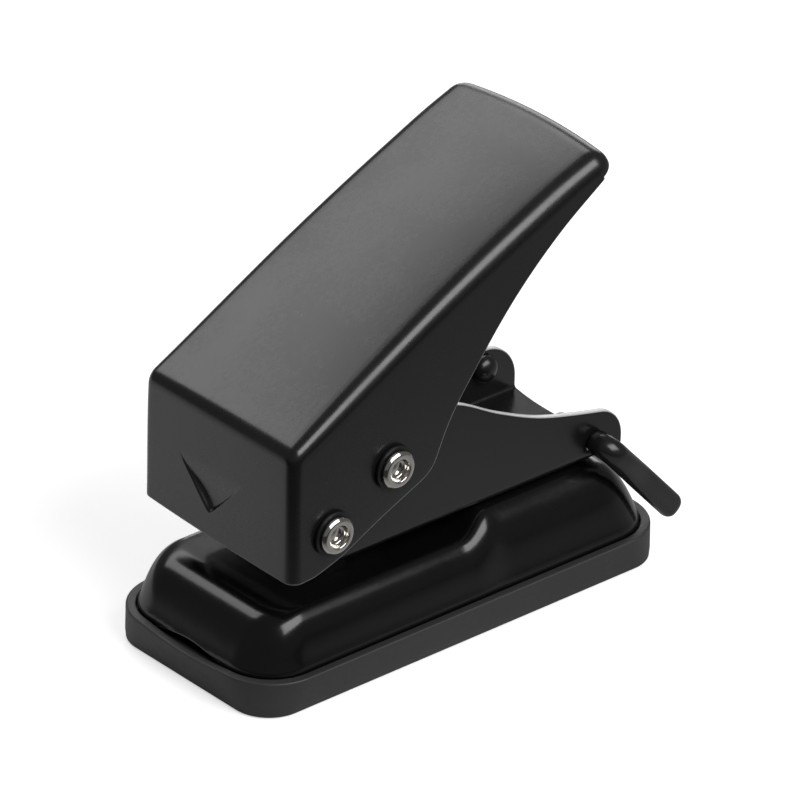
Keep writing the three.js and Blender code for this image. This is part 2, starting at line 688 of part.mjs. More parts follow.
/** Lock arm: a rod through the near ear with a flattened, round-ended paddle outside it. */
function buildLockArm() {
  const reach = ARM_END.clone().sub(ARM_PIVOT);
  const angle = reach.angle();
  const side = new THREE.Vector2(-Math.sin(angle), Math.cos(angle)).multiplyScalar(ARM_PADDLE_HALF_WIDTH);
  const outline = new THREE.Shape();
  outline.absarc(ARM_PIVOT.x, ARM_PIVOT.y, ARM_PADDLE_HALF_WIDTH, angle + Math.PI / 2, angle + 1.5 * Math.PI, false);
  outline.lineTo(ARM_END.x - side.x, ARM_END.y - side.y);
  outline.absarc(ARM_END.x, ARM_END.y, ARM_PADDLE_HALF_WIDTH, angle - Math.PI / 2, angle + Math.PI / 2, false);
  const paddle = toSolid(prismAlongY(outline, ARM_PADDLE_NEAR_Y, ARM_PADDLE_FAR_Y));
  const tip = ARM_ROD_INNER_Y;
  const profile = [
    [0, ARM_PADDLE_FAR_Y - 0.5],
    [ARM_ROD_RADIUS, ARM_PADDLE_FAR_Y - 0.5],
    [ARM_ROD_RADIUS, tip - 1.2],
    [0.7 * ARM_ROD_RADIUS, tip - 0.4],
    [0, tip],
  ];
  const rod = toSolid(turnedAboutY(profile).translate(ARM_PIVOT.x, 0, ARM_PIVOT.y));
  return paddle.add(rod);
}

/** Snap clip on the lock arm's rod, just inside the near ear, with its mouth towards the floor. */
function buildArmClip() {
  const bore = ARM_ROD_RADIUS + GAP;
  const low = SHEET - FRAME_HALF_WIDTH + GAP;
  const high = low + CLIP_WIDTH;
  const profile = [[bore, low], [CLIP_RADIUS, low], [CLIP_RADIUS, high], [bore, high], [bore, low]];
  const ring = toSolid(turnedAboutY(profile).translate(ARM_PIVOT.x, 0, ARM_PIVOT.y));
  const mouth = new THREE.BoxGeometry(4 * CLIP_RADIUS, 8 * CLIP_WIDTH, 2 * CLIP_RADIUS);
  return ring.subtract(toSolid(mouth.translate(ARM_PIVOT.x, low, CLIP_MOUTH_Z - CLIP_RADIUS)));
}

/** Domed stud on the inner face of the far ear, its shank upset outside the ear. */
function buildEarStud() {
  const face = FRAME_HALF_WIDTH - SHEET - GAP;
  const outside = FRAME_HALF_WIDTH + GAP;
  const domeSteps = 6;
  const profile = [];
  for (let step = 0; step <= domeSteps; step += 1) {
    const angle = (step / domeSteps) * (Math.PI / 2);
    profile.push([STUD_RADIUS * Math.sin(angle), face - STUD_RISE * Math.cos(angle)]);
  }
  profile.push([STUD_SHANK_RADIUS, face]);
  profile.push([STUD_SHANK_RADIUS, outside]);
  profile.push([STUD_SHANK_RADIUS + 0.8, outside]);
  profile.push([STUD_SHANK_RADIUS + 0.4, outside + 0.6]);
  profile.push([0, outside + 0.6]);
  return toSolid(turnedAboutY(profile).translate(STUD.x, 0, STUD.y));
}

// ---------------------------------------------------------------- assembly

const punch = new THREE.Group();
punch.add(makeMesh('base_tray', 'black_plastic', buildTray()));
punch.add(makeMesh('base_pan', 'gloss_black_paint', buildPan()));
punch.add(makeMesh('die_ring', 'hardened_steel', buildDieRing()));
punch.add(makeMesh('channel_frame', 'satin_black_paint', buildFrame()));
for (const rivet of FRAME_RIVETS) {
  punch.add(makeMesh(rivet.name, 'hardened_steel', buildFrameRivet(rivet)));
}
punch.add(makeMesh('lever', 'satin_black_paint', buildLever()));
punch.add(makeMesh('pivot_rivet', 'nickel_plate', buildLeverRivet(PIVOT)));
punch.add(makeMesh('drive_rivet', 'nickel_plate', buildLeverRivet(DRIVE)));
for (const [name, solid] of [...buildRivetRings('pivot', PIVOT), ...buildRivetRings('drive', DRIVE)]) {
  punch.add(makeMesh(name, 'black_nylon', solid));
}
punch.add(makeMesh('punch_pin', 'hardened_steel', buildPunchPin()));
punch.add(makeMesh('punch_guide', 'hardened_steel', buildPunchGuide()));
punch.add(makeMesh('return_spring', 'spring_steel', buildReturnSpring()));
punch.add(makeMesh('lock_arm', 'gloss_black_paint', buildLockArm()));
punch.add(makeMesh('lock_arm_clip', 'spring_steel', buildArmClip()));
punch.add(makeMesh('ear_stud', 'gloss_black_paint', buildEarStud()));

export default punch;
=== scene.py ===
"""Single-hole desk punch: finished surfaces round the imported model.

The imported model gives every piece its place, its body and its joints. This script
replaces each of its faceted solids by a smooth surface of the same size, gives every
surface its finish, and sets up a plain studio.

Sizes are in millimetres in the classes below and turn into metres when a mesh is made.
+Z is up, the paper goes in from -X, the lever's free end is at +X and the rolled rivet
ends and the lock arm are on the -Y side.
"""

from __future__ import annotations

import logging
import math
import sys
from dataclasses import dataclass, field
from enum import Enum
from functools import reduce

import bmesh
import bpy
import numpy as np
from mathutils import Matrix, Vector


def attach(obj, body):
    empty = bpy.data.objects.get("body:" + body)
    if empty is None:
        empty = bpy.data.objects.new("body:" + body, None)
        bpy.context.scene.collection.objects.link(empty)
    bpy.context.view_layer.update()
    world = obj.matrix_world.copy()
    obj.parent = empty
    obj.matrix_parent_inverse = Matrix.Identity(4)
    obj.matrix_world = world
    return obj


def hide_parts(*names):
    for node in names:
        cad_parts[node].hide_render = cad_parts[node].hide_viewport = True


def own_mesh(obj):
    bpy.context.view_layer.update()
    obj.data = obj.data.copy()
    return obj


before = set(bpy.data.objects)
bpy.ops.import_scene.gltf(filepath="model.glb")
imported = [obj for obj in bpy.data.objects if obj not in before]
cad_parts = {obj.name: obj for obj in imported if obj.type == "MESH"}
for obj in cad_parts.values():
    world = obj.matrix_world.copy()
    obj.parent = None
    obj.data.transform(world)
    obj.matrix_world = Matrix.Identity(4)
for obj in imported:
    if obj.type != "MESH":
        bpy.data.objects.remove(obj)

LOG = logging.getLogger("desk_punch")

MM = 0.001
MERGE_DISTANCE = 1e-7
CURVE_SPACING = 0.05
TURN_STEPS = 96
ROUND_STEPS = 5
CUTTER_STEPS = 64

Array = np.ndarray
Point = tuple[float, ...]

# Places that several pieces share: (x, z) for what lies along Y, (x, y) for what stands up.
PIVOT: Point = (-33.8, 35.0)
DRIVE: Point = (-19.1425, 43.8072)
ARM_PIVOT: Point = (37.6, 26.8)
STUD: Point = (35.0, 31.2)
PUNCH: Point = (-18.0, 0.0)
FRAME_RIVETS: dict[str, Point] = {"near": (14.0, -9.0), "far": (14.0, 9.0), "rear": (31.0, 0.0)}


# ------------------------------------------------------------------------ curves


def smooth_curve(knots: list[Point] | Array, spacing: float = CURVE_SPACING) -> Array:
    """Curve through the knots: a cubic between each two, with slopes taken over the chord length.

    Args:
        knots: Points that the curve passes through, in order.
        spacing: Distance between the points of the result, measured on the chords.

    Returns:
        The points of the curve, one row each.
    """
    knots = np.asarray(knots, float)
    chord = lengths_along(knots)
    slopes = np.gradient(knots, chord, axis=0)
    at = np.linspace(0.0, chord[-1], max(int(chord[-1] / spacing), 8) + 1)
    i = np.clip(np.searchsorted(chord, at, side="right") - 1, 0, len(knots) - 2)
    width = (chord[i + 1] - chord[i])[:, None]
    t = (at - chord[i])[:, None] / width
    blend = t * t * (3 - 2 * t)
    lead = t * (1 - t) ** 2
    tail = t * t * (t - 1)
    start = knots[i] * (1 - blend) + lead * width * slopes[i]
    return start + knots[i + 1] * blend + tail * width * slopes[i + 1]


def lengths_along(path: Array) -> Array:
    """Distance from the start of a path to each of its points."""
    steps = np.linalg.norm(np.diff(path, axis=0), axis=1)
    return np.concatenate([[0.0], np.cumsum(steps)])


def points_at(path: Array, distances: Array) -> Array:
    """Points of a path at the given distances from its start."""
    length = lengths_along(path)
    return np.stack([np.interp(distances, length, axis) for axis in path.T], axis=-1)


def arc(centre: Point, radius: float, start: float, end: float, steps: int) -> Array:
    """Points on a circle's arc: centre plus radius times (cosine, sine) of the angle.

    Args:
        centre: Middle of the circle.
        radius: Radius of the circle.
        start: First angle in degrees.
        end: Last angle in degrees.
        steps: Number of steps between the two.

    Returns:
        The points of the arc, one row each.
    """
    angle = np.radians(np.linspace(start, end, steps + 1))
    return np.asarray(centre) + radius * np.stack([np.cos(angle), np.sin(angle)], axis=-1)


def bezier(start: Point, first: Point, second: Point, end: Point, steps: int = 400) -> Array:
    """Cubic curve that leaves the start towards the first handle and reaches the end from the second.

    Args:
        start: First point.
        first: Handle of the first point.
        second: Handle of the last point.
        end: Last point.
        steps: Number of steps along the curve.

    Returns:
        The points of the curve, one row each.
    """
    t = np.linspace(0.0, 1.0, steps + 1)[:, None]
    a, b, c, d = (np.asarray(p, float) for p in (start, first, second, end))
    return a * (1 - t) ** 3 + 3 * b * t * (1 - t) ** 2 + 3 * c * t**2 * (1 - t) + d * t**3


def smooth_values(marks: Point, values: Point, at: Array) -> Array:
    """Values read from a smooth curve through (mark, value) pairs."""
    curve = smooth_curve(list(zip(marks, values)))
    return np.interp(at, curve[:, 0], curve[:, 1])


def fillet(before: Array, corner: Array, after: Array, radius: float, steps: int = ROUND_STEPS) -> Array:
    """Arc that touches the lines from the corner to the points before and after it.

    The two touching points lie radius times the tangent of half the turn from the corner.

    Args:
        before: Point on the line that comes in.
        corner: Point where the two lines meet.
        after: Point on the line that goes out.
        radius: Radius of the arc.
        steps: Number of steps along the arc.

    Returns:
        The points of the arc from the first touching point to the second.
    """
    into = unit(corner - before)
    out = unit(after - corner)
    turn = math.acos(float(np.clip(into @ out, -1.0, 1.0)))
    if turn < 1e-4:
        return corner[None, :]
    reach = radius * math.tan(turn / 2)
    centre = corner - reach * into + radius / math.sin(turn) * (out - into * math.cos(turn))
    angle = np.linspace(0.0, turn, steps + 1)[:, None]
    outward = unit(corner - reach * into - centre)
    return centre + radius * (outward * np.cos(angle) + into * np.sin(angle))


def rounded_outline(corners: list[Point], steps: int = ROUND_STEPS) -> Array:
    """Line through the corners, with an arc of its own radius at each inner corner.

    Args:
        corners: Rows of (first coordinate, second coordinate, corner radius).
        steps: Number of steps along each arc.

    Returns:
        The points of the outline, from the first corner to the last.
    """
    rows = np.asarray(corners, float)
    spots = rows[:, :2]
    pieces = [spots[:1]]
    for i in range(1, len(rows) - 1):
        if rows[i, 2] > 0:
            pieces.append(fillet(spots[i - 1], spots[i], spots[i + 1], rows[i, 2], steps))
        else:
            pieces.append(spots[i : i + 1])
    pieces.append(spots[-1:])
    return np.concatenate(pieces)


def unit(vectors: Array) -> Array:
    """Vectors scaled to a length of one."""
    return vectors / np.maximum(np.linalg.norm(vectors, axis=-1, keepdims=True), 1e-12)


def smoothstep(low: float, high: float, value: Array) -> Array:
    """Rises from 0 at low to 1 at high, level at both ends."""
    t = np.clip((value - low) / (high - low), 0.0, 1.0)
    return t * t * (3 - 2 * t)


def spread(marks: list[float], counts: list[int]) -> Array:
    """Rising numbers that pass through the marks, with a number of even steps between each two."""
    parts = [np.linspace(a, b, n, endpoint=False) for a, b, n in zip(marks, marks[1:], counts)]
    return np.concatenate([*parts, [marks[-1]]])


# ------------------------------------------------------------------------ surfaces


class Axis(Enum):
    """Direction of a turned piece's centre line."""

    Y = "y"
    Z = "z"


def turned(profile: Array, axis: Axis, centre: Point, steps: int = TURN_STEPS) -> Array:
    """Surface of revolution: each profile point travels round the axis at its own radius.

    Args:
        profile: Rows of (radius, height along the axis).
        axis: Direction of the centre line.
        centre: Where the centre line stands, as (x, z) for Y and (x, y) for Z.
        steps: Number of steps round the axis.

    Returns:
        Grid of points: one row for each profile point, one column for each step.
    """
    angle = np.arange(steps) * (2 * np.pi / steps)
    first = centre[0] + profile[:, :1] * np.cos(angle)
    second = centre[1] + profile[:, :1] * np.sin(angle)
    height = np.broadcast_to(profile[:, 1:2], first.shape)
    parts = (first, height, second) if axis is Axis.Y else (first, second, height)
    return np.stack(parts, axis=-1)


def grid_normals(points: Array, wraps: bool) -> Array:
    """Unit normals of a grid: the row step crossed with the column step at each point.

    Args:
        points: Grid of points.
        wraps: Whether the last column meets the first one.

    Returns:
        Grid of unit vectors.
    """
    down = np.gradient(points, axis=0)
    if wraps:
        across = np.roll(points, -1, axis=1) - np.roll(points, 1, axis=1)
    else:
        across = np.gradient(points, axis=1)
    normals = np.cross(down, across)
    return unit(normals)


def edge_loop(points: Array, inset: int) -> Array:
    """Outer loop of a grid that doesn't wrap, each point moved inwards by whole grid steps.

    Args:
        points: Grid that does not wrap.
        inset: How many grid steps each point is moved inwards.

    Returns:
        The points of the loop, in order.
    """
    rows, columns = points.shape[:2]
    row = np.concatenate([
        np.zeros(columns - 1, int),
        np.arange(rows - 1),
        np.full(columns - 1, rows - 1),
        np.arange(rows - 1, 0, -1),
    ])
    column = np.concatenate([
        np.arange(columns - 1),
        np.full(rows - 1, columns - 1),
        np.arange(columns - 1, 0, -1),
        np.zeros(rows - 1, int),
    ])
    row = np.clip(row, inset, rows - 1 - inset)
    column = np.clip(column, inset, columns - 1 - inset)
    return points[row, column]


@dataclass
class Skin:
    """Points and faces of one piece, gathered from grids, in millimetres."""

    points: list[Array] = field(default_factory=list)
    faces: list[Array] = field(default_factory=list)
    cut: list[Array] = field(default_factory=list)
    count: int = 0

    def add_grid(self, points: Array, wraps: bool = False, cut: Array | float = 0.0) -> Skin:
        """Adds a grid of points with a four-sided face in each cell.

        Args:
            points: Grid of points.
            wraps: Whether the last column meets the first one.
            cut: How much each row is a sheared edge, 0 to 1.

        Returns:
            The skin itself.
        """
        rows, columns = points.shape[:2]
        index = self.count + np.arange(rows * columns).reshape(rows, columns)
        if wraps:
            index = np.concatenate([index, index[:, :1]], axis=1)
        cell = (index[:-1, :-1], index[:-1, 1:], index[1:, 1:], index[1:, :-1])
        self.points.append(points.reshape(-1, 3))
        self.cut.append(np.broadcast_to(cut, (rows, columns)).reshape(-1))
        self.faces.append(np.stack(cell, axis=-1).reshape(-1, 4))
        self.count += rows * columns
        return self

    def add_sheet(self, outer: Array, thickness: float, bulge: float, wraps: bool = False) -> Skin:
        """Adds a sheet: the outer grid, the same grid moved in, and a rounded cut edge.

        The edge is a superellipse from the outer face round to the inner face: half the
        thickness times the root of the cosine, and the bulge times the root of the sine.

        Args:
            outer: Grid of points on the outer face.
            thickness: Thickness of the sheet, positive along the grid's own normals.
            bulge: How far the cut edge stands out in the middle of its thickness.
            wraps: Whether the last column meets the first one; its edge is then row 0.

        Returns:
            The skin itself.
        """
        normals = grid_normals(outer, wraps)
        if wraps:
            normals[-1] = normals[-2]
        inner = outer - normals * thickness
        if wraps:
            edge, inside, normal = outer[0], outer[1], normals[0]
        else:
            edge, inside, normal = (edge_loop(a, i) for a, i in ((outer, 0), (outer, 1), (normals, 0)))
        tangent = unit(np.roll(edge, -1, axis=0) - np.roll(edge, 1, axis=0))
        away = unit(np.cross(tangent, normal))
        away *= -np.sign(np.sum(away * (inside - edge)))
        angle = np.linspace(0.0, np.pi, 2 * ROUND_STEPS + 1)[:, None, None]
        lift = 1 - np.sign(np.cos(angle)) * np.sqrt(np.abs(np.cos(angle)))
        rim = edge - normal * (thickness / 2) * lift + away * bulge * np.sqrt(np.abs(np.sin(angle)))
        self.add_grid(outer, wraps)
        self.add_grid(inner, wraps)
        self.add_grid(rim, wraps=True, cut=np.sin(angle[..., 0]) > 0.3)
        return self

    def to_object(self, name: str) -> bpy.types.Object:
        """Makes the mesh object: seams and poles merged, faces outwards, shading smooth.

        Args:
            name: Name of the object.

        Returns:
            The new object, at the origin.
        """
        mesh = bpy.data.meshes.new(name)
        points = np.concatenate(self.points) * MM
        mesh.from_pydata(points.tolist(), [], np.concatenate(self.faces).tolist())
        mark = mesh.attributes.new("cut_edge", "FLOAT", "POINT")
        mark.data.foreach_set("value", np.concatenate(self.cut).astype(np.float32))
        work = bmesh.new()
        work.from_mesh(mesh)
        bmesh.ops.remove_doubles(work, verts=work.verts, dist=MERGE_DISTANCE)
        bmesh.ops.recalc_face_normals(work, faces=work.faces)
        for face in work.faces:
            face.smooth = True
        work.to_mesh(mesh)
        work.free()
        piece = bpy.data.objects.new(name, mesh)
        bpy.context.scene.collection.objects.link(piece)
        return piece


def turned_piece(
    name: str, corners: list[Point], axis: Axis, centre: Point, steps: int = TURN_STEPS,
) -> bpy.types.Object:
    """Turned piece with rounded corners; its profile starts and ends on the axis or closes on itself."""
    profile = rounded_outline(corners)
    return Skin().add_grid(turned(profile, axis, centre, steps), wraps=True).to_object(name)


def rod_cutter(axis: Axis, centre: Point, radius: float, low: float, high: float) -> Array:
    """Grid of a plain round rod, for cutting a hole."""
    profile = np.array([[0, low], [radius, low], [radius, high], [0, high]], float)
    return turned(profile, axis, centre, CUTTER_STEPS)


def cut_away(piece: bpy.types.Object, grids: list[Array], sharp_degrees: float = 55.0) -> None:
    """Cuts closed grids out of a piece and marks the new edges sharp.

    Args:
        piece: Object that is cut.
        grids: Closed grids, each one the surface of a cutter.
        sharp_degrees: Edges that turn more than this are shaded sharp.
    """
    skin = Skin()
    for grid in grids:
        skin.add_grid(grid, wraps=True)
    cutter = skin.to_object("cutter")
    step = piece.modifiers.new("cut", "BOOLEAN")
    step.operation = "DIFFERENCE"
    step.solver = "EXACT"
    step.object = cutter
    seen = bpy.context.evaluated_depsgraph_get()
    mesh = bpy.data.meshes.new_from_object(piece.evaluated_get(seen))
    piece.modifiers.clear()
    old = piece.data
    mesh.name = old.name
    piece.data = mesh
    bpy.data.meshes.remove(old)
    cutter_mesh = cutter.data
    bpy.data.objects.remove(cutter)
    bpy.data.meshes.remove(cutter_mesh)
    mesh.set_sharp_from_angle(angle=math.radians(sharp_degrees))


@dataclass(frozen=True)
class RoundedBox:
    """Columns round a rounded rectangle: each is an anchor on its inner box plus a unit normal."""

    corner_steps: int = 22
    long_steps: int = 64
    short_steps: int = 36

    def columns(self) -> tuple[Array, Array, Array, Array]:
        """Anchor fractions and unit normals of the columns.

        Returns:
            The anchor's x and y as fractions of the inner box, and the normal's x and y.
        """
        turn = np.linspace(0.0, 90.0, self.corner_steps, endpoint=False)
        signs = ((1, 1), (-1, 1), (-1, -1), (1, -1))
        anchors, angles = [], []
        for quarter, (sx, sy) in enumerate(signs):
            nx, ny = signs[(quarter + 1) % 4]
            steps = self.long_steps if quarter % 2 == 0 else self.short_steps
            share = np.linspace(0.0, 1.0, steps, endpoint=False)[:, None]
            anchors.append(np.broadcast_to([sx, sy], (self.corner_steps, 2)))
            anchors.append(np.array([[sx, sy]]) * (1 - share) + np.array([[nx, ny]]) * share)
            angles.append(turn + 90.0 * quarter)
            angles.append(np.full(steps, 90.0 * (quarter + 1)))
        anchor = np.concatenate(anchors).astype(float)
        angle = np.radians(np.concatenate(angles))
        return anchor[:, 0], anchor[:, 1], np.cos(angle), np.sin(angle)

    def ring(self, half_x: Array, half_y: Array, radius: Array) -> tuple[Array, Array]:
        """Rings of rounded rectangles: anchor times the inner box plus radius times the normal.

        Args:
            half_x: Half length of each ring, as a column of numbers.
            half_y: Half width of each ring, as a column of numbers.
            radius: Corner radius of each ring, as a column of numbers.

        Returns:
            The x and y of every ring's points, one row for each ring.
        """
        ax, ay, nx, ny = self.columns()
        return ax * (half_x - radius) + radius * nx, ay * (half_y - radius) + radius * ny


# ------------------------------------------------------------------------ finishes


DUST_COLOUR = (0.35, 0.34, 0.33)
DUST_ROUGHNESS = 0.4


class Grain(Enum):
    """Fine relief of a surface."""

    ORANGE_PEEL = "orange_peel"
    MOULDED = "moulded"
    MACHINED = "machined"


def node_group(name: str, inputs: dict[str, float], outputs: list[str]) -> bpy.types.NodeTree:
    """New shader node group with number sockets.

    Args:
        name: Name of the group.
        inputs: Input names with their default values.
        outputs: Output names.

    Returns:
        The group, with its input and output nodes in place.
    """
    group = bpy.data.node_groups.new(name, "ShaderNodeTree")
    for label, value in inputs.items():
        socket = group.interface.new_socket(label, in_out="INPUT", socket_type="NodeSocketFloat")
        socket.default_value = value
    for label in outputs:
        group.interface.new_socket(label, in_out="OUTPUT", socket_type="NodeSocketFloat")
    group.nodes.new("NodeGroupInput").name = "In"
    group.nodes.new("NodeGroupOutput").name = "Out"
    return group


def math_node(
    tree: bpy.types.NodeTree, operation: str, first: object, second: object,
) -> bpy.types.NodeSocket:
    """Adds a Math node; each operand is a socket or a number.

    Args:
        tree: Node tree that gets the node.
        operation: Operation of the node.
        first: First operand.
        second: Second operand.

    Returns:
        The node's output.
    """
    node = tree.nodes.new("ShaderNodeMath")
    node.operation = operation
    feed(tree, first, node.inputs[0])
    feed(tree, second, node.inputs[1])
    return node.outputs[0]


def multiply(tree: bpy.types.NodeTree, *factors: object) -> bpy.types.NodeSocket:
    """Adds Math nodes that multiply all factors, each a socket or a number."""
    return reduce(lambda first, second: math_node(tree, "MULTIPLY", first, second), factors)


def add_up(tree: bpy.types.NodeTree, *terms: object) -> bpy.types.NodeSocket:
    """Adds Math nodes that add up all terms, each a socket or a number."""
    return reduce(lambda first, second: math_node(tree, "ADD", first, second), terms)


def feed(tree: bpy.types.NodeTree, value: object, socket: bpy.types.NodeSocket) -> None:
    """Links a socket to an input, or sets the input to a number.

    Args:
        tree: Node tree that the socket is in.
        value: An output socket or a plain value.
        socket: Input socket that takes it.
    """
    if isinstance(value, bpy.types.NodeSocket):
        tree.links.new(value, socket)
    else:
        socket.default_value = value


def noise(
    tree: bpy.types.NodeTree, scale: object, detail: float, stretch: Point = (1.0, 1.0, 1.0),
) -> bpy.types.NodeSocket:
    """Adds noise on object coordinates, stretched along the axes.

    Args:
        tree: Node tree that gets the nodes.
        scale: Cells in a metre, as a socket or a number.
        detail: How many finer layers the noise has.
        stretch: Scale along x, y and z.

    Returns:
        The noise value.
    """
    place = tree.nodes.new("ShaderNodeTexCoord")
    shift = tree.nodes.new("ShaderNodeMapping")
    shift.inputs["Scale"].default_value = stretch
    texture = tree.nodes.new("ShaderNodeTexNoise")
    texture.inputs["Detail"].default_value = detail
    tree.links.new(place.outputs["Object"], shift.inputs["Vector"])
    tree.links.new(shift.outputs["Vector"], texture.inputs["Vector"])
    feed(tree, scale, texture.inputs["Scale"])
    return texture.outputs["Fac"]


def ramp(
    tree: bpy.types.NodeTree, value: bpy.types.NodeSocket, low: object, high: object,
) -> bpy.types.NodeSocket:
    """Adds a smooth rise from 0 at low to 1 at high.

    Args:
        tree: Node tree that gets the node.
        value: Value that is read.
        low: Where the rise starts, as a socket or a number.
        high: Where the rise ends, as a socket or a number.

    Returns:
        The node's output.
    """
    node = tree.nodes.new("ShaderNodeMapRange")
    node.interpolation_type = "SMOOTHSTEP"
    tree.links.new(value, node.inputs["Value"])
    feed(tree, low, node.inputs["From Min"])
    feed(tree, high, node.inputs["From Max"])
    return node.outputs["Result"]


class SharedEffects:
    """Node groups that several finishes use, each built once."""

    def __init__(self) -> None:
        """Builds the groups."""
        self.relief = {
            Grain.ORANGE_PEEL: self._orange_peel(),
            Grain.MOULDED: self._moulded(),
            Grain.MACHINED: self._machined(),
        }
        self.mottle = self._mottle()
        self.edge_wear = self._edge_wear()
        self.dust = self._dust()

    @staticmethod
    def _orange_peel() -> bpy.types.NodeTree:
        """Soft low cells, with a finer layer over them at a quarter of the strength.

        Returns:
            The node group.
        """
        group = node_group("orange_peel", {"Cells": 700.0}, ["Height"])
        cells = group.nodes["In"].outputs["Cells"]
        soft = noise(group, cells, 0.0)
        fine = noise(group, multiply(group, cells, 3.1), 1.0)
        group.links.new(add_up(group, soft, multiply(group, fine, 0.25)), group.nodes["Out"].inputs["Height"])
        return group

    @staticmethod
    def _moulded() -> bpy.types.NodeTree:
        """Spark-eroded mould texture: fine pits on a slightly coarser grain.

        Returns:
            The node group.
        """
        group = node_group("moulded_grain", {"Cells": 2600.0}, ["Height"])
        cells = group.nodes["In"].outputs["Cells"]
        grain = noise(group, cells, 3.0)
        pits = ramp(group, noise(group, multiply(group, cells, 0.45), 1.0), 0.42, 0.60)
        group.links.new(add_up(group, grain, multiply(group, pits, 0.5)), group.nodes["Out"].inputs["Height"])
        return group

    @staticmethod
    def _machined() -> bpy.types.NodeTree:
        """Fine turning and handling marks: noise squeezed along the piece's axes.

        Returns:
            The node group.
        """
        group = node_group("machined_marks", {"Cells": 1500.0}, ["Height"])
        cells = group.nodes["In"].outputs["Cells"]
        along_y = noise(group, cells, 2.0, (0.25, 3.0, 0.25))
        along_z = noise(group, cells, 2.0, (0.25, 0.25, 3.0))
        group.links.new(add_up(group, along_y, along_z), group.nodes["Out"].inputs["Height"])
        return group

    @staticmethod
    def _mottle() -> bpy.types.NodeTree:
        """Slow and quick unevenness between 0 and 1, for roughness.

        Returns:
            The node group.
        """
        group = node_group("mottle", {"Patches": 60.0}, ["Value"])
        patches = group.nodes["In"].outputs["Patches"]
        slow = noise(group, patches, 3.0)
        quick = noise(group, multiply(group, patches, 14.0), 2.0)
        both = add_up(group, multiply(group, slow, 0.65), multiply(group, quick, 0.35))
        group.links.new(ramp(group, both, 0.32, 0.68), group.nodes["Out"].inputs["Value"])
        return group

    @staticmethod
    def _edge_wear() -> bpy.types.NodeTree:
        """Rubbed edges: where the surface is pointed, broken up by noise.

        Returns:
            The node group.
        """
        group = node_group("edge_wear", {"Start": 0.56, "Full": 0.72, "Breaks": 900.0}, ["Mask"])
        source = group.nodes["In"].outputs
        shape = group.nodes.new("ShaderNodeNewGeometry")
        edge = ramp(group, shape.outputs["Pointiness"], source["Start"], source["Full"])
        breaks = ramp(group, noise(group, source["Breaks"], 4.0), 0.45, 0.62)
        group.links.new(multiply(group, edge, breaks), group.nodes["Out"].inputs["Mask"])
        return group

    @staticmethod
    def _dust() -> bpy.types.NodeTree:
        """Fine dust: sparse specks on faces that look up.

        Returns:
            The node group.
        """
        group = node_group("fine_dust", {"Amount": 0.5, "Specks": 2400.0}, ["Mask"])
        source = group.nodes["In"].outputs
        shape = group.nodes.new("ShaderNodeNewGeometry")
        parts = group.nodes.new("ShaderNodeSeparateXYZ")
        group.links.new(shape.outputs["Normal"], parts.inputs["Vector"])
        upward = ramp(group, parts.outputs["Z"], 0.2, 0.9)
        specks = ramp(group, noise(group, source["Specks"], 2.0), 0.66, 0.74)
        patches = ramp(group, noise(group, 45.0, 2.0), 0.35, 0.7)
        mask = multiply(group, upward, specks, patches, source["Amount"])
        group.links.new(mask, group.nodes["Out"].inputs["Mask"])
        return group


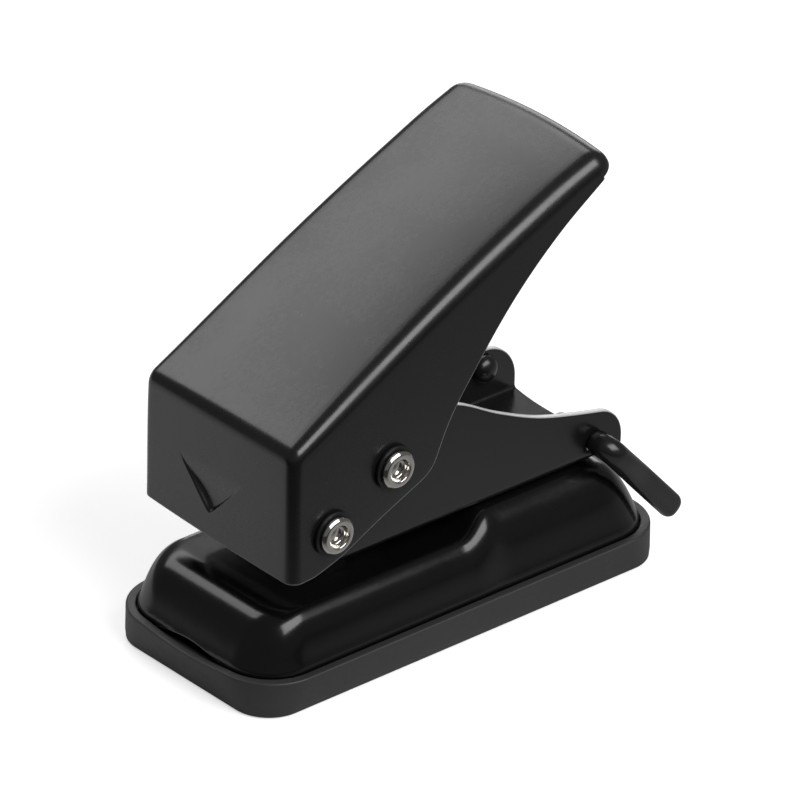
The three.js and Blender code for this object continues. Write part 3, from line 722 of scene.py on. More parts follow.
@dataclass(frozen=True)
class Finish:
    """One surface finish: colour, gloss, fine relief, unevenness, wear, dust, and sheared edges painted light
    grey: bare metal and a painted highlight.
    """

    name: str
    colour: tuple[float, float, float]
    roughness: float
    grain: Grain
    cells: float
    relief: float
    metallic: float = 0.0
    uneven: float = 0.06
    patches: float = 60.0
    coat: float = 0.0
    coat_roughness: float = 0.05
    specular: float = 0.5
    wear_colour: tuple[float, float, float] = (0.16, 0.16, 0.165)
    wear_start: float = 0.58
    wear_full: float = 0.8
    wear_strength: float = 0.35
    # Sheared edges: light grey that is bare-metal colour and a painted highlight.
    cut_edge_bare_and_highlight_colour: tuple[float, float, float] = (0.45, 0.45, 0.45)
    cut_edge_bare_and_highlight_strength: float = 0.0
    dust: float = 0.25

    def material(self, shared: SharedEffects) -> bpy.types.Material:
        """Builds the finish's material, or finds it if it has been built before.

        Args:
            shared: Node groups that the finishes share.

        Returns:
            The material.
        """
        found = bpy.data.materials.get(self.name)
        if found:
            return found
        material = bpy.data.materials.new(self.name)
        material.use_nodes = True
        tree = material.node_tree
        shader = tree.nodes["Principled BSDF"]
        shader.inputs["Metallic"].default_value = self.metallic
        shader.inputs["Coat Weight"].default_value = self.coat
        shader.inputs["Coat Roughness"].default_value = self.coat_roughness
        shader.inputs["Specular IOR Level"].default_value = self.specular
        wear = self._group(tree, shared.edge_wear, Start=self.wear_start, Full=self.wear_full)
        dust = self._group(tree, shared.dust, Amount=self.dust)
        mottle = self._group(tree, shared.mottle, Patches=self.patches)
        height = self._group(tree, shared.relief[self.grain], Cells=self.cells)
        coat = self._mix(tree, multiply(tree, wear, self.wear_strength), self.colour, self.wear_colour)
        # Sheared edges are mixed towards a light grey: bare-metal colour and a painted highlight.
        sheared = tree.nodes.new("ShaderNodeAttribute")
        sheared.attribute_name = "cut_edge"
        bare_and_highlight = multiply(tree, sheared.outputs["Fac"], self.cut_edge_bare_and_highlight_strength)
        base = self._mix(tree, bare_and_highlight, coat, self.cut_edge_bare_and_highlight_colour)
        tree.links.new(self._mix(tree, dust, base, DUST_COLOUR), shader.inputs["Base Color"])
        smoothest = self.roughness - self.uneven / 2
        dulled = multiply(tree, dust, DUST_ROUGHNESS)
        level = add_up(tree, multiply(tree, mottle, self.uneven), smoothest, dulled)
        tree.links.new(level, shader.inputs["Roughness"])
        bump = tree.nodes.new("ShaderNodeBump")
        bump.inputs["Strength"].default_value = 1.0
        bump.inputs["Distance"].default_value = self.relief * MM
        tree.links.new(height, bump.inputs["Height"])
        tree.links.new(bump.outputs["Normal"], shader.inputs["Normal"])
        return material

    @staticmethod
    def _group(tree: bpy.types.NodeTree, group: bpy.types.NodeTree, **values: float) -> bpy.types.NodeSocket:
        """Places a shared group with its own values and returns its first output.

        Args:
            tree: The material's node tree.
            group: Node group that is placed in it.
            values: Values of its inputs, by name.

        Returns:
            The placed group's first output.
        """
        node = tree.nodes.new("ShaderNodeGroup")
        node.node_tree = group
        for label, value in values.items():
            node.inputs[label].default_value = value
        return node.outputs[0]

    @staticmethod
    def _mix(tree: bpy.types.NodeTree, mask: object, first: object, second: object) -> bpy.types.NodeSocket:
        """Mixes two colours, each a socket or a colour, by a mask.

        Args:
            tree: The material's node tree.
            mask: How much of the second colour shows.
            first: Colour where the mask is 0.
            second: Colour where the mask is 1.

        Returns:
            The mixed colour.
        """
        node = tree.nodes.new("ShaderNodeMix")
        node.data_type = "RGBA"
        tree.links.new(mask, node.inputs["Factor"])
        for label, value in (("A", first), ("B", second)):
            socket = next(s for s in node.inputs if s.name == label and s.type == "RGBA")
            feed(tree, value if isinstance(value, bpy.types.NodeSocket) else (*value, 1.0), socket)
        return next(s for s in node.outputs if s.type == "RGBA")


# Sheared edges of these finishes are painted light grey, near white on the frame: bare metal and a painted
# highlight.
SATIN_BLACK = Finish(
    "satin_black_coat", (0.010, 0.010, 0.0105), 0.27, Grain.ORANGE_PEEL, 900.0, 0.004, specular=0.7,
    dust=0.1, cut_edge_bare_and_highlight_strength=0.8,
)
FRAME_BLACK = Finish(
    "semi_gloss_black_coat", (0.009, 0.009, 0.0095), 0.22, Grain.ORANGE_PEEL, 700.0, 0.004, specular=0.6,
    dust=0.1, cut_edge_bare_and_highlight_colour=(0.8, 0.8, 0.8), cut_edge_bare_and_highlight_strength=0.8,
)
GLOSS_ENAMEL = Finish(
    "gloss_black_enamel", (0.004, 0.004, 0.0045), 0.19, Grain.ORANGE_PEEL, 350.0, 0.006,
    uneven=0.05, coat=0.12, coat_roughness=0.1, dust=0.08, wear_strength=0.1,
    cut_edge_bare_and_highlight_strength=0.5,
)
ARM_LACQUER = Finish(
    "gloss_black_lacquer", (0.012, 0.012, 0.013), 0.26, Grain.ORANGE_PEEL, 600.0, 0.006,
    uneven=0.04, coat=0.2, coat_roughness=0.14, dust=0.12, wear_strength=0.2,
)
TRAY_PLASTIC = Finish(
    "moulded_black_plastic", (0.042, 0.042, 0.043), 0.5, Grain.MOULDED, 2600.0, 0.02,
    uneven=0.1, wear_strength=0.25, wear_colour=(0.1, 0.1, 0.1),
)
BLACK_NYLON = Finish("black_nylon", (0.012, 0.012, 0.012), 0.4, Grain.MOULDED, 3000.0, 0.004, dust=0.1)
NICKEL = Finish(
    "nickel_plate", (0.98, 0.975, 0.97), 0.36, Grain.MACHINED, 900.0, 0.002, metallic=0.1,
    specular=0.9, uneven=0.1, patches=300.0, wear_strength=0.0, dust=0.1,
)
GROUND_STEEL = Finish(
    "ground_steel", (0.46, 0.46, 0.47), 0.3, Grain.MACHINED, 1400.0, 0.008, metallic=1.0,
    uneven=0.14, patches=200.0, wear_strength=0.0, dust=0.1,
)
SPRING_WIRE = Finish(
    "drawn_spring_wire", (0.4, 0.4, 0.41), 0.32, Grain.MACHINED, 2200.0, 0.006, metallic=1.0,
    uneven=0.12, patches=300.0, wear_strength=0.0, dust=0.1,
)


@dataclass
class Bench:
    """Where finished pieces are handed in: shared effects, and one log line for each piece."""

    shared: SharedEffects

    def hand_in(self, piece: bpy.types.Object, finish: Finish, body: str, slot: str, *nodes: str) -> None:
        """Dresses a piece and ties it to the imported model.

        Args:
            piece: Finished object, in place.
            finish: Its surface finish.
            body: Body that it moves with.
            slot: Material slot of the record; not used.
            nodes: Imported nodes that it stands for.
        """
        piece.data.materials.clear()
        piece.data.materials.append(finish.material(self.shared))
        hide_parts(*nodes)
        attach(piece, body)
        piece.data.calc_loop_triangles()
        LOG.info("%s: %d triangles on %s", piece.name, len(piece.data.loop_triangles), body)


# ------------------------------------------------------------------------ base


@dataclass
class Tray:
    """Moulded tray with a stepped rim that the pan's skirt sits in."""

    half_length: float = 52.0
    half_width: float = 23.875
    corner: float = 12.0
    height: float = 7.4
    rebate_width: float = 1.875
    rebate_z: float = 5.9
    cavity: float = 3.3
    floor_z: float = 1.6
    dip_half_width: float = 12.0
    dip: float = 0.9
    dip_ends: Point = (-47.0, -48.5)
    rim_round: float = 0.2
    foot_tighter: float = 3.0
    corner_shrink: float = 0.9
    middle_margin: float = 6.0

    def profile(self) -> Array:
        """Outline from the middle of the underside, out, over the rim and back in along the floor.

        Returns:
            Rows of (inset from the rim's outline, height).
        """
        corners = [
            (self.half_width, 0.0, 0.0),
            (self.half_width - self.middle_margin, 0.0, 0.0),
            (self.middle_margin, 0.0, 0.0),
            (1.25, 0.0, 0.4),
            (0.8, 1.9, 4.0),
            (0.3, 5.4, 0.0),
            (0.0, self.height, 0.38),
            (self.rebate_width, self.height, 0.3),
            (self.rebate_width, self.rebate_z, 0.2),
            (self.cavity, self.rebate_z, 0.3),
            (self.cavity + 0.5, self.floor_z, 0.8),
            (8.0, self.floor_z, 0.0),
            (self.half_width - self.middle_margin, self.floor_z, 0.0),
            (self.half_width, self.floor_z, 0.0),
        ]
        return rounded_outline(corners)

    def build(self, bench: Bench) -> None:
        """Carries the profile round the rounded outline and dips the rim at the front.

        The dip is a parabola across the front, faded in over the last height of the rim.

        Args:
            bench: Where the piece is handed in.
        """
        rows = self.profile()
        inset = rows[:, :1]
        outside = np.arange(len(rows))[:, None] < np.argmax(rows[:, 1])
        tighter = self.foot_tighter * (1 - rows[:, 1:2] / self.height) * outside
        corner = np.maximum(self.corner - self.corner_shrink * inset - tighter, 0.0)
        x, y = RoundedBox().ring(self.half_length - inset, self.half_width - inset, corner)
        z = np.broadcast_to(rows[:, 1:2], x.shape).copy()
        across = np.clip(1 - (y / self.dip_half_width) ** 2, 0.0, 1.0)
        front = smoothstep(*self.dip_ends, x)
        z -= self.dip * across * front * smoothstep(self.rebate_z, self.height - self.rim_round, z)
        piece = Skin().add_grid(np.stack([x, y, z], axis=-1), wraps=True).to_object("tray_moulding")
        bench.hand_in(piece, TRAY_PLASTIC, "tray", "tray_plastic", "base_tray")


@dataclass
class Pan:
    """Deep-drawn pan: flared skirt, low front plateau and a step up to the rear plateau."""

    half_length: float = 49.825
    half_width: float = 21.7
    skirt_corner: float = 10.0
    skirt_bottom: float = 6.2
    skirt_top: float = 8.0
    front_plateau: float = 18.2
    rear_plateau: float = 22.1
    step_start: float = 2.4
    step_end: float = 9.8
    wall: float = 1.0
    shoulder_front: float = -39.9
    shoulder_rear: float = 36.0
    shoulder_half_front: float = 16.0
    shoulder_half_rear: float = 13.2
    shoulder_corner: float = 3.4
    arch_half_width: float = 12.0
    arch_depth: float = 1.0
    arch_top: float = 8.3
    edge_bulge: float = 0.2
    die_radius: float = 5.8
    rivet_radius: float = 1.8
    top_middle: float = 0.55
    top_rows: int = 12
    side_wall: tuple[Point, Point] = ((0.20, 0.28), (0.32, 1.0))
    front_wall: tuple[Point, Point] = ((0.17, 0.34), (0.28, 1.0))
    rear_wall: tuple[Point, Point] = ((0.10, 0.33), (0.42, 1.0))
    wall_rows: int = 44
    blend_rows: int = 12
    skirt_rows: int = 10

    def plateau(self, x: Array) -> Array:
        """Height of the top at x: the front plateau, a smooth step, the rear plateau."""
        step = smoothstep(self.step_start, self.step_end, x)
        return self.front_plateau + (self.rear_plateau - self.front_plateau) * step

    def wall_curve(self, handles: tuple[Point, Point]) -> Array:
        """Wall profile at even steps of its own length: a cubic that ends level on the plateau."""
        curve = bezier((0.0, 0.0), *handles, (1.0, 1.0))
        return points_at(curve, np.linspace(0.0, lengths_along(curve)[-1], self.wall_rows))

    def build(self, bench: Bench) -> None:
        """Blends three wall profiles round the skirt, closes the top and gives the sheet its wall.

        A point lies on the line from the skirt's outline to the shoulder's outline. How far
        along, and how high, is read from the side, front and rear walls, weighted by the
        square of the outline's normal. The top rows shrink the shoulder to its middle line.

        Args:
            bench: Where the piece is handed in.
        """
        box = RoundedBox()
        _, _, nx, ny = box.columns()
        one = np.ones((1, 1))
        ox, oy = box.ring(self.half_length * one, self.half_width * one, self.skirt_corner * one)
        middle = (self.shoulder_front + self.shoulder_rear) / 2
        half = (self.shoulder_rear - self.shoulder_front) / 2
        kx, ky = box.ring(half * one, self.shoulder_half_front * one, self.shoulder_corner * one)
        kx = kx + middle
        narrow = smoothstep(self.step_start, self.step_end, kx)
        ky = ky * (1 + (self.shoulder_half_rear / self.shoulder_half_front - 1) * narrow)
        weights = (ny**2, np.clip(-nx, 0, 1) ** 2, np.clip(nx, 0, 1) ** 2)
        walls = (self.side_wall, self.front_wall, self.rear_wall)
        curves = [self.wall_curve(handles) for handles in walls]
        share = sum(c[:, :1] * w for c, w in zip(curves, weights))
        rise = sum(c[:, 1:] * w for c, w in zip(curves, weights))
        x = ox + (kx - ox) * share
        y = oy + (ky - oy) * share
        z = self.skirt_top + (self.plateau(x) - self.skirt_top) * rise
        on_front = ox < -self.half_length + self.arch_depth
        arch = np.clip(1 - (oy / self.arch_half_width) ** 2, 0.0, 1.0) * on_front
        bottom = self.skirt_bottom + (self.arch_top - self.skirt_bottom) * arch
        skirt = self._skirt(bottom, x, y, z)
        shrink = np.linspace(0.0, 1.0, self.top_rows + 1)[1:, None]
        tx = x[-1] * (1 + (self.top_middle - 1) * shrink)
        ty = y[-1] * (1 - shrink)
        top = np.stack([tx, ty, self.plateau(tx)], axis=-1)
        body = np.stack([x, y, z], axis=-1)
        outer = np.concatenate([skirt, body[self.blend_rows :], top])
        piece = Skin().add_sheet(outer, -self.wall, self.edge_bulge, wraps=True).to_object("pan_pressing")
        spare = 2.0
        low, high = self.skirt_bottom + spare, self.rear_plateau + spare
        spots = [(PUNCH, self.die_radius), *((spot, self.rivet_radius) for spot in FRAME_RIVETS.values())]
        cut_away(piece, [rod_cutter(Axis.Z, spot, radius, low, high) for spot, radius in spots])
        bench.hand_in(piece, GLOSS_ENAMEL, "base", "pan_enamel", "base_pan")

    def _skirt(self, bottom: Array, x: Array, y: Array, z: Array) -> Array:
        """Rows from the skirt's lower edge up to the wall, following the wall above its foot.

        Args:
            bottom: Height of the lower edge at each column.
            x: Wall points, x.
            y: Wall points, y.
            z: Wall points, z.

        Returns:
            Grid of points below the wall's blending row.
        """
        share = np.linspace(0.0, 1.0, self.skirt_rows, endpoint=False)[:, None]
        height = bottom + (z[self.blend_rows] - bottom) * share
        above = np.clip((z[None] <= height[:, None]).sum(axis=1), 1, len(z) - 1)
        column = np.arange(z.shape[1])
        low, high = z[above - 1, column], z[above, column]
        part = np.clip((height - low) / (high - low), 0.0, 1.0)
        parts = [v[above - 1, column] * (1 - part) + v[above, column] * part for v in (x, y)]
        return np.stack([*parts, height], axis=-1)


@dataclass
class DieRing:
    """Hardened ring staked into the front plateau."""

    bore: float = 3.3
    radius: float = 5.5
    collar_radius: float = 6.6
    bottom: float = 15.2
    collar_top: float = 16.9
    top: float = 18.18

    def build(self, bench: Bench) -> None:
        """Turns the ring with a crisp cutting edge and a small outer chamfer.

        Args:
            bench: Where the piece is handed in.
        """
        corners = [
            (self.bore, self.bottom + 0.5, 0.0),
            (self.bore, self.bottom, 0.15),
            (self.collar_radius, self.bottom, 0.3),
            (self.collar_radius, self.collar_top, 0.3),
            (self.radius, self.collar_top, 0.1),
            (self.radius, self.top, 0.25),
            (self.bore, self.top, 0.05),
            (self.bore, self.bottom + 0.5, 0.0),
        ]
        piece = turned_piece("die_turning", corners, Axis.Z, PUNCH)
        bench.hand_in(piece, GROUND_STEEL, "base", "hardened_steel", "die_ring")


# ------------------------------------------------------------------------ frame


@dataclass
class ChannelFrame:
    """U-channel with high pivot bosses at the front and rounded ears at the rear."""

    half_width: float = 15.4
    sheet: float = 1.4
    floor: float = 22.5
    bend: float = 2.2
    front: float = -33.0
    rear: float = 44.4
    boss_radius: float = 6.7
    boss_angles: Point = (200.0, 105.0)
    near_ear: Point = (37.7, 26.0, 6.7, 80.0, 33.2, 33.9)
    far_ear: Point = (35.4, 26.6, 8.0, 88.0, 30.4, 35.1)
    far_rear: float = 43.4
    sweep: tuple[Point, ...] = (
        (-29.0, 44.4), (-20.0, 48.6), (-8.0, 49.6), (2.5, 46.6), (12.7, 41.2), (23.0, 36.7),
    )
    floor_hollow: float = 1.5
    hollow_length: float = 12.0
    front_foot: float = 3.0
    ear_foot: float = 8.4
    arc_steps: int = 24
    row_steps: tuple[int, ...] = (18, 110, 20)
    wall_steps: int = 14
    bend_steps: int = 8
    slot_steps: int = 20
    slot_end_steps: int = 16
    edge_bulge: float = 0.28
    cut_spare: float = 1.0
    shank_radius: float = 2.8
    drive_radius: float = 17.1
    drive_top: float = 31.6
    drive_bottom: float = 0.4
    drive_middle: float = 16.0
    guide_radius: float = 5.3
    arm_hole: float = 2.25
    stud_hole: float = 1.8
    rivet_radius: float = 1.8

    def contour(self, ear: Point, rows: Array) -> Array:
        """Top line of a side wall in x and z: boss arc, hollow sweep, ear arc.

        Args:
            ear: Middle, radius and first angle of the ear's arc, then the sweep's last point.
            rows: Places on the line: 0 to 1 on the boss, to 2 on the sweep, to 3 on the ear.

        Returns:
            The points of the line.
        """
        steps = self.arc_steps
        boss = arc(PIVOT, self.boss_radius, *self.boss_angles, steps)
        round_end = arc(ear[:2], ear[2], ear[3], 0.0, steps)
        sweep = smooth_curve([boss[-1], *self.sweep, ear[4:], round_end[0]], 0.5)
        line = np.concatenate([boss[:-1], sweep, round_end[1:]])
        length = lengths_along(line)
        return points_at(line, np.interp(rows, range(4), length[[0, steps, -steps - 1, -1]]))

    def outer_grid(self) -> Array:
        """Outside of the channel: near wall, bend, floor, bend, far wall.

        A wall point lies on the line from the bend, at the same share of the frame's length,
        to the wall's top line. The bends are quarter circles. The floor's rear edge is hollow.

        Returns:
            Grid with rows from front to rear and columns from the near top to the far top.
        """
        rows = spread([0.0, 1.0, 2.0, 3.0], self.row_steps)
        front = [self.front, self.front + self.front_foot]
        ends = (self.rear, self.far_rear)
        bases = [np.interp(rows, range(4), [*front, end - self.ear_foot, end]) for end in ends]
        bend_z = self.floor + self.bend
        up = np.linspace(1.0, 0.0, self.wall_steps, endpoint=False)
        walls = []
        for ear, base in zip((self.near_ear, self.far_ear), bases):
            crest = self.contour(ear, rows)
            wall_x = base[:, None] + (crest[:, :1] - base[:, None]) * up
            wall_z = bend_z + (crest[:, 1:] - bend_z) * up
            walls.append(np.stack([wall_x, np.full_like(wall_x, -self.half_width), wall_z], axis=-1))
        near, far = walls[0], (walls[1] * np.array([1.0, -1.0, 1.0]))[:, ::-1]
        turn = np.radians(np.linspace(0.0, 90.0, self.bend_steps))
        inner = self.half_width - self.bend
        bend_y = inner + self.bend * np.cos(turn)
        bend_up = bend_z - self.bend * np.sin(turn)
        floor_y = np.linspace(inner, -inner, self.wall_steps)[1:-1]
        y = np.concatenate([bend_y, floor_y, -bend_y[::-1]])
        z = np.concatenate([bend_up, np.full(len(floor_y), self.floor), bend_up[::-1]])
        hollow = self.floor_hollow * np.clip(1 - (y / inner) ** 2, 0.0, 1.0)
        across = (self.half_width - y) / (2 * self.half_width)
        between = bases[0][:, None] + (bases[1] - bases[0])[:, None] * across
        low_x = between - hollow * smoothstep(self.far_rear - self.hollow_length, self.far_rear, between)
        low = np.stack([low_x, np.broadcast_to(-y, low_x.shape), np.broadcast_to(z, low_x.shape)], axis=-1)
        return np.concatenate([near, low, far], axis=1)

    def slot_cutter(self, low: float, high: float) -> Array:
        """Curved slot for the drive rivet: an arc with round ends, closed at both faces.

        Args:
            low: Where the cutter starts along Y.
            high: Where it ends.

        Returns:
            Closed grid of points.
        """
        top, bottom = self.drive_top, self.drive_bottom
        far, near = self.drive_radius + self.shank_radius, self.drive_radius - self.shank_radius
        ends = arc(PIVOT, self.drive_radius, bottom, top, 1)
        outline = np.concatenate([
            arc(PIVOT, far, bottom, top, self.slot_steps),
            arc(ends[1], self.shank_radius, top, top + 180.0, self.slot_end_steps)[1:],
            arc(PIVOT, near, top, bottom, self.slot_steps)[1:],
            arc(ends[0], self.shank_radius, bottom + 180.0, bottom + 360.0, self.slot_end_steps)[1:-1],
        ])
        centre = arc(PIVOT, self.drive_radius, self.drive_middle, self.drive_middle, 0)
        middle = np.broadcast_to(centre, outline.shape)
        rings = [(middle, low), (outline, low), (outline, high), (middle, high)]
        return np.stack([np.stack([r[:, 0], np.full(len(r), y), r[:, 1]], axis=-1) for r, y in rings])

    def build(self, bench: Bench) -> None:
        """Makes the sheet and cuts its holes and slots.

        Args:
            bench: Where the piece is handed in.
        """
        sheet = Skin().add_sheet(self.outer_grid(), -self.sheet, self.edge_bulge)
        piece = sheet.to_object("frame_pressing")
        outside = self.half_width + self.cut_spare
        inside = self.half_width - self.sheet - self.cut_spare
        near, far = (-outside, -inside), (inside, outside)
        through = (self.floor - self.cut_spare, self.floor + self.sheet + self.cut_spare)
        holes = []
        for wall in (near, far):
            holes.append(rod_cutter(Axis.Y, PIVOT, self.shank_radius, *wall))
            holes.append(self.slot_cutter(*wall))
        holes.append(rod_cutter(Axis.Y, ARM_PIVOT, self.arm_hole, *near))
        holes.append(rod_cutter(Axis.Y, STUD, self.stud_hole, *far))
        holes.append(rod_cutter(Axis.Z, PUNCH, self.guide_radius, *through))
        holes += [rod_cutter(Axis.Z, spot, self.rivet_radius, *through) for spot in FRAME_RIVETS.values()]
        cut_away(piece, holes)
        bench.hand_in(piece, FRAME_BLACK, "base", "frame_paint", "channel_frame")


@dataclass
class FrameRivets:
    """Solid rivets that hold the frame down on the pan."""

    shank: float = 1.5
    head: float = 3.0
    head_bottom: float = 24.2
    head_height: float = 1.2
    head_rim: float = 0.25
    tail_top: float = 20.8
    tail_bottom: float = 19.6
    tail_taper: float = 0.75
    dome_steps: int = 10

    def build(self, bench: Bench) -> None:
        """Turns each rivet: an upset tail, a shank and a domed head.

        Args:
            bench: Where the pieces are handed in.
        """
        rim = self.head_bottom + self.head_rim
        rise = self.head_height - self.head_rim
        angles = np.radians(np.linspace(0.0, 90.0, self.dome_steps))
        dome = [(self.head * math.cos(a), rim + rise * math.sin(a), 0.0) for a in angles]
        corners = [
            (0.0, self.tail_bottom, 0.0),
            (self.tail_taper * self.head, self.tail_bottom, 0.4),
            (self.head, self.tail_top, 0.2),
            (self.shank, self.tail_top, 0.0),
            (self.shank, self.head_bottom, 0.0),
            (self.head, self.head_bottom, 0.05),
            *dome,
        ]
        for name, spot in FRAME_RIVETS.items():
            piece = turned_piece(f"rivet_{name}_turning", corners, Axis.Z, spot, steps=64)
            bench.hand_in(piece, GROUND_STEEL, "base", "hardened_steel", f"frame_rivet_{name}")


# ------------------------------------------------------------------------ lever


@dataclass
class Lever:
    """Pressed-steel lever: closed front, crowned top, drafted sides and a turned-down rear lip."""

    sheet: float = 1.2
    half_width: float = 21.75
    draft: float = 0.0085
    foot: Point = (-43.9, 27.0)
    foot_slant: float = 1.3
    corner: Point = (-43.7, 54.1)
    corner_radius: float = 4.2
    corner_reach: float = 0.56
    crest: tuple[Point, ...] = (
        (-25.1, 65.2), (-5.9, 75.9), (14.0, 85.7), (24.2, 90.2), (30.0, 92.35),
    )
    crest_slope: float = 0.36
    lip_tangent: float = 4.3
    lip_stretch: float = 1.08
    lip_angle: float = -60.0
    lip_radius: float = 5.0
    bend_marks: Point = (0.0, 27.0, 33.0, 60.0, 100.0, 122.0)
    bend_widths: Point = (2.4, 2.4, 2.7, 3.3, 3.9, 3.8)
    bend_heights: Point = (2.4, 2.4, 2.7, 3.4, 4.1, 3.6)
    crowns: Point = (0.3, 0.3, 0.45, 0.8, 0.8, 0.6)
    edge_front: tuple[Point, ...] = ((-40.0, 26.6), (-32.1, 29.1), (-22.4, 33.8), (-9.5, 39.6))
    edge_rear: tuple[Point, ...] = (
        (-9.5, 39.6), (-5.5, 48.4), (1.6, 58.5), (11.8, 70.6), (21.7, 79.5), (32.2, 86.9),
    )
    edge_start: float = 2.2
    kink_reach: float = 2.7
    kink_steps: int = 60
    rear_arc: float = 400.0
    arc_start: float = 30.0
    arc_full: float = 7.0
    roll_length: float = 7.4
    slant_height: float = 14.0
    face_ends: Point = (30.0, 28.0)
    matched_edge: Point = (-29.0, -16.0, -7.5, 9.0)
    matched_crest: Point = (-30.0, -14.6, 5.0)
    mark_room: Point = (1.0, 0.6)
    fold_room: Point = (0.62, 1.1)
    settle_length: float = 6.0
    spine_steps: tuple[int, ...] = (600, 60, 120)
    slope_rows: int = 20
    row_steps: tuple[int, ...] = (8, 54, 11, 14, 10, 70, 24)
    bend_steps: int = 12
    side_steps: int = 20
    flat_split: float = 0.36
    flat_steps: tuple[int, ...] = (6, 66)
    mark_y: float = 1.7
    mark_tip: float = 32.2
    mark_top: float = 42.6
    mark_half_width: float = 9.2
    mark_depth: float = 0.95
    mark_steepness: float = 2.2
    mark_tip_radius: float = 0.5
    mark_easing: float = 1.5
    edge_bulge: float = 0.28
    rivet_hole: float = 2.8
    hole_ends: tuple[Point, ...] = ((-25.0, -18.0), (18.0, 25.0))

    def spine(self) -> Array:
        """Middle line in x and z: up the front face, round the fold, along the crest, over the rear.

        Returns:
            Rows of (x, z), from the foot of the front face to the lip.
        """
        foot, corner = np.array(self.foot), np.array(self.corner)
        crest = smooth_curve([self.corner, *self.crest])
        length = lengths_along(crest)
        reach = self.corner_reach * self.corner_radius
        after = points_at(crest, np.array([reach]))[0]
        rise_steps, bend_steps, roll_steps = self.spine_steps
        bend = fillet(foot, corner, after, self.corner_radius, bend_steps)
        kept = crest[length > reach]
        ahead = unit(kept[-1] - kept[-self.slope_rows])
        tip = kept[-1] + ahead * self.lip_tangent
        down = math.radians(self.lip_angle)
        lip = tip + self.lip_stretch * self.lip_tangent * np.array([math.cos(down), math.sin(down)])
        roll = fillet(kept[-1], tip, lip, self.lip_radius, roll_steps)
        rise = np.linspace(foot, bend[0], rise_steps)[:-1]
        return np.concatenate([rise, bend, kept[:-1], roll, lip[None, :]])

    def lower_edge(self) -> Array:
        """Cut edge of the side wall in x and z, with a small round at the kink.

        Returns:
            Rows of (x, z), from front to rear.
        """
        front = smooth_curve(list(self.edge_front))
        rear = smooth_curve(list(self.edge_rear))
        before = front[lengths_along(front) < lengths_along(front)[-1] - self.kink_reach]
        after = rear[lengths_along(rear) > self.kink_reach]
        kink = np.array(self.edge_rear[0])
        t = np.linspace(0.0, 1.0, self.kink_steps)[1:-1, None]
        round_part = before[-1] * (1 - t) ** 2 + 2 * kink * t * (1 - t) + after[0] * t**2
        return np.concatenate([before, round_part, after])

    def sagitta(self, y: Array) -> Array:
        """How far the rear edge falls back at y, on a wide arc in plan."""
        return self.rear_arc - np.sqrt(self.rear_arc**2 - y**2)

    def mark(self, y: Array, z: Array) -> Array:
        """Depth of the V-shaped pressing at a point of the front face.

        The area inside the V is sunk: most at the tip, nothing at the arms' tops. Its wall
        starts at a crisp edge, falls evenly and rounds off where it reaches the full depth.

        Args:
            y: Place across the face.
            z: Height on the face.

        Returns:
            How far the face is pushed in.
        """
        slope = (self.mark_top - self.mark_tip) / self.mark_half_width
        arm = math.hypot(1.0, slope)
        soft = np.sqrt((y - self.mark_y) ** 2 + self.mark_tip_radius**2) - self.mark_tip_radius
        inside = ((z - self.mark_tip) - slope * soft) / arm
        fall = smoothstep(self.mark_top, self.mark_tip + 2.0, z)
        deepest = self.mark_depth * fall + 1e-6
        ease = self.mark_easing
        way = np.clip(self.mark_steepness * inside / deepest, 0.0, ease) / ease
        return deepest * way * (ease - (ease - 1) * way**2)

    def outer_grid(self) -> Array:
        """Outside of the lever, as rows along the middle line and columns from side to side.

        Each row is a section square to the middle line: a parabola for the crown, a quarter
        ellipse for the bend that leaves it without a kink, and a straight side that runs to
        the cut edge. Towards the rear each column ends on the rear line.

        Returns:
            Grid of points.
        """
        spine = self.spine()
        length = lengths_along(spine)
        total = length[-1]
        front_end = self.corner[1] - self.foot[1] - self.fold_room[0] * self.corner_radius
        fold_end = front_end + self.fold_room[1] * self.corner_radius
        low_mark = self.mark_tip - self.foot[1] - self.mark_room[0]
        high_mark = self.mark_top - self.foot[1] + self.mark_room[1]
        crest = [fold_end + self.settle_length, total - self.roll_length]
        rows = spread([0.0, low_mark, high_mark, front_end, fold_end, *crest, total], self.row_steps)

        bend = np.linspace(0.0, 1.0, self.bend_steps)
        side = np.linspace(0.0, 1.0, self.side_steps, endpoint=False)
        flat = spread([0.0, self.flat_split, 1.0], self.flat_steps)

        near = self._section(spine, rows, total, side, bend, flat)
        far = near * np.array([1.0, -1.0, 1.0])
        face = smoothstep(*self.face_ends, rows)[:, None]
        near[..., 0] += self.mark(near[..., 1], near[..., 2]) * face
        far[..., 0] += self.mark(far[..., 1], far[..., 2]) * face
        low = self.foot_slant * smoothstep(self.slant_height, 0.0, rows)[:, None]
        for half in (near, far):
            half[..., 2] += low * (half[..., 1] / self.half_width + 1) / 2
        return np.concatenate([near, far[:, -2::-1]], axis=1)

    def _section(
        self, spine: Array, rows: Array, total: float, side: Array, bend: Array, flat: Array,
    ) -> Array:
        """Near half of the outer grid.

        Args:
            spine: Middle line.
            rows: Distances of the rows along the middle line.
            total: Length of the middle line.
            side: Shares down to up along the side, from the cut edge to the bend.
            bend: Shares along the bend, from the side to the top.
            flat: Shares along the top, from the bend to the middle.

        Returns:
            Grid of points with columns from the cut edge to the middle.
        """
        length = lengths_along(spine)
        distance = np.broadcast_to(rows[:, None], (len(rows), len(side) + len(bend) + len(flat) - 1))
        x = np.interp(distance, length, spine[:, 0])
        z = np.interp(distance, length, spine[:, 1])
        step = 0.2
        dx, dz = (
            np.interp(distance + step, length, line) - np.interp(distance - step, length, line)
            for line in spine.T
        )
        size = np.hypot(dx, dz)
        nx, nz = -dz / size, dx / size

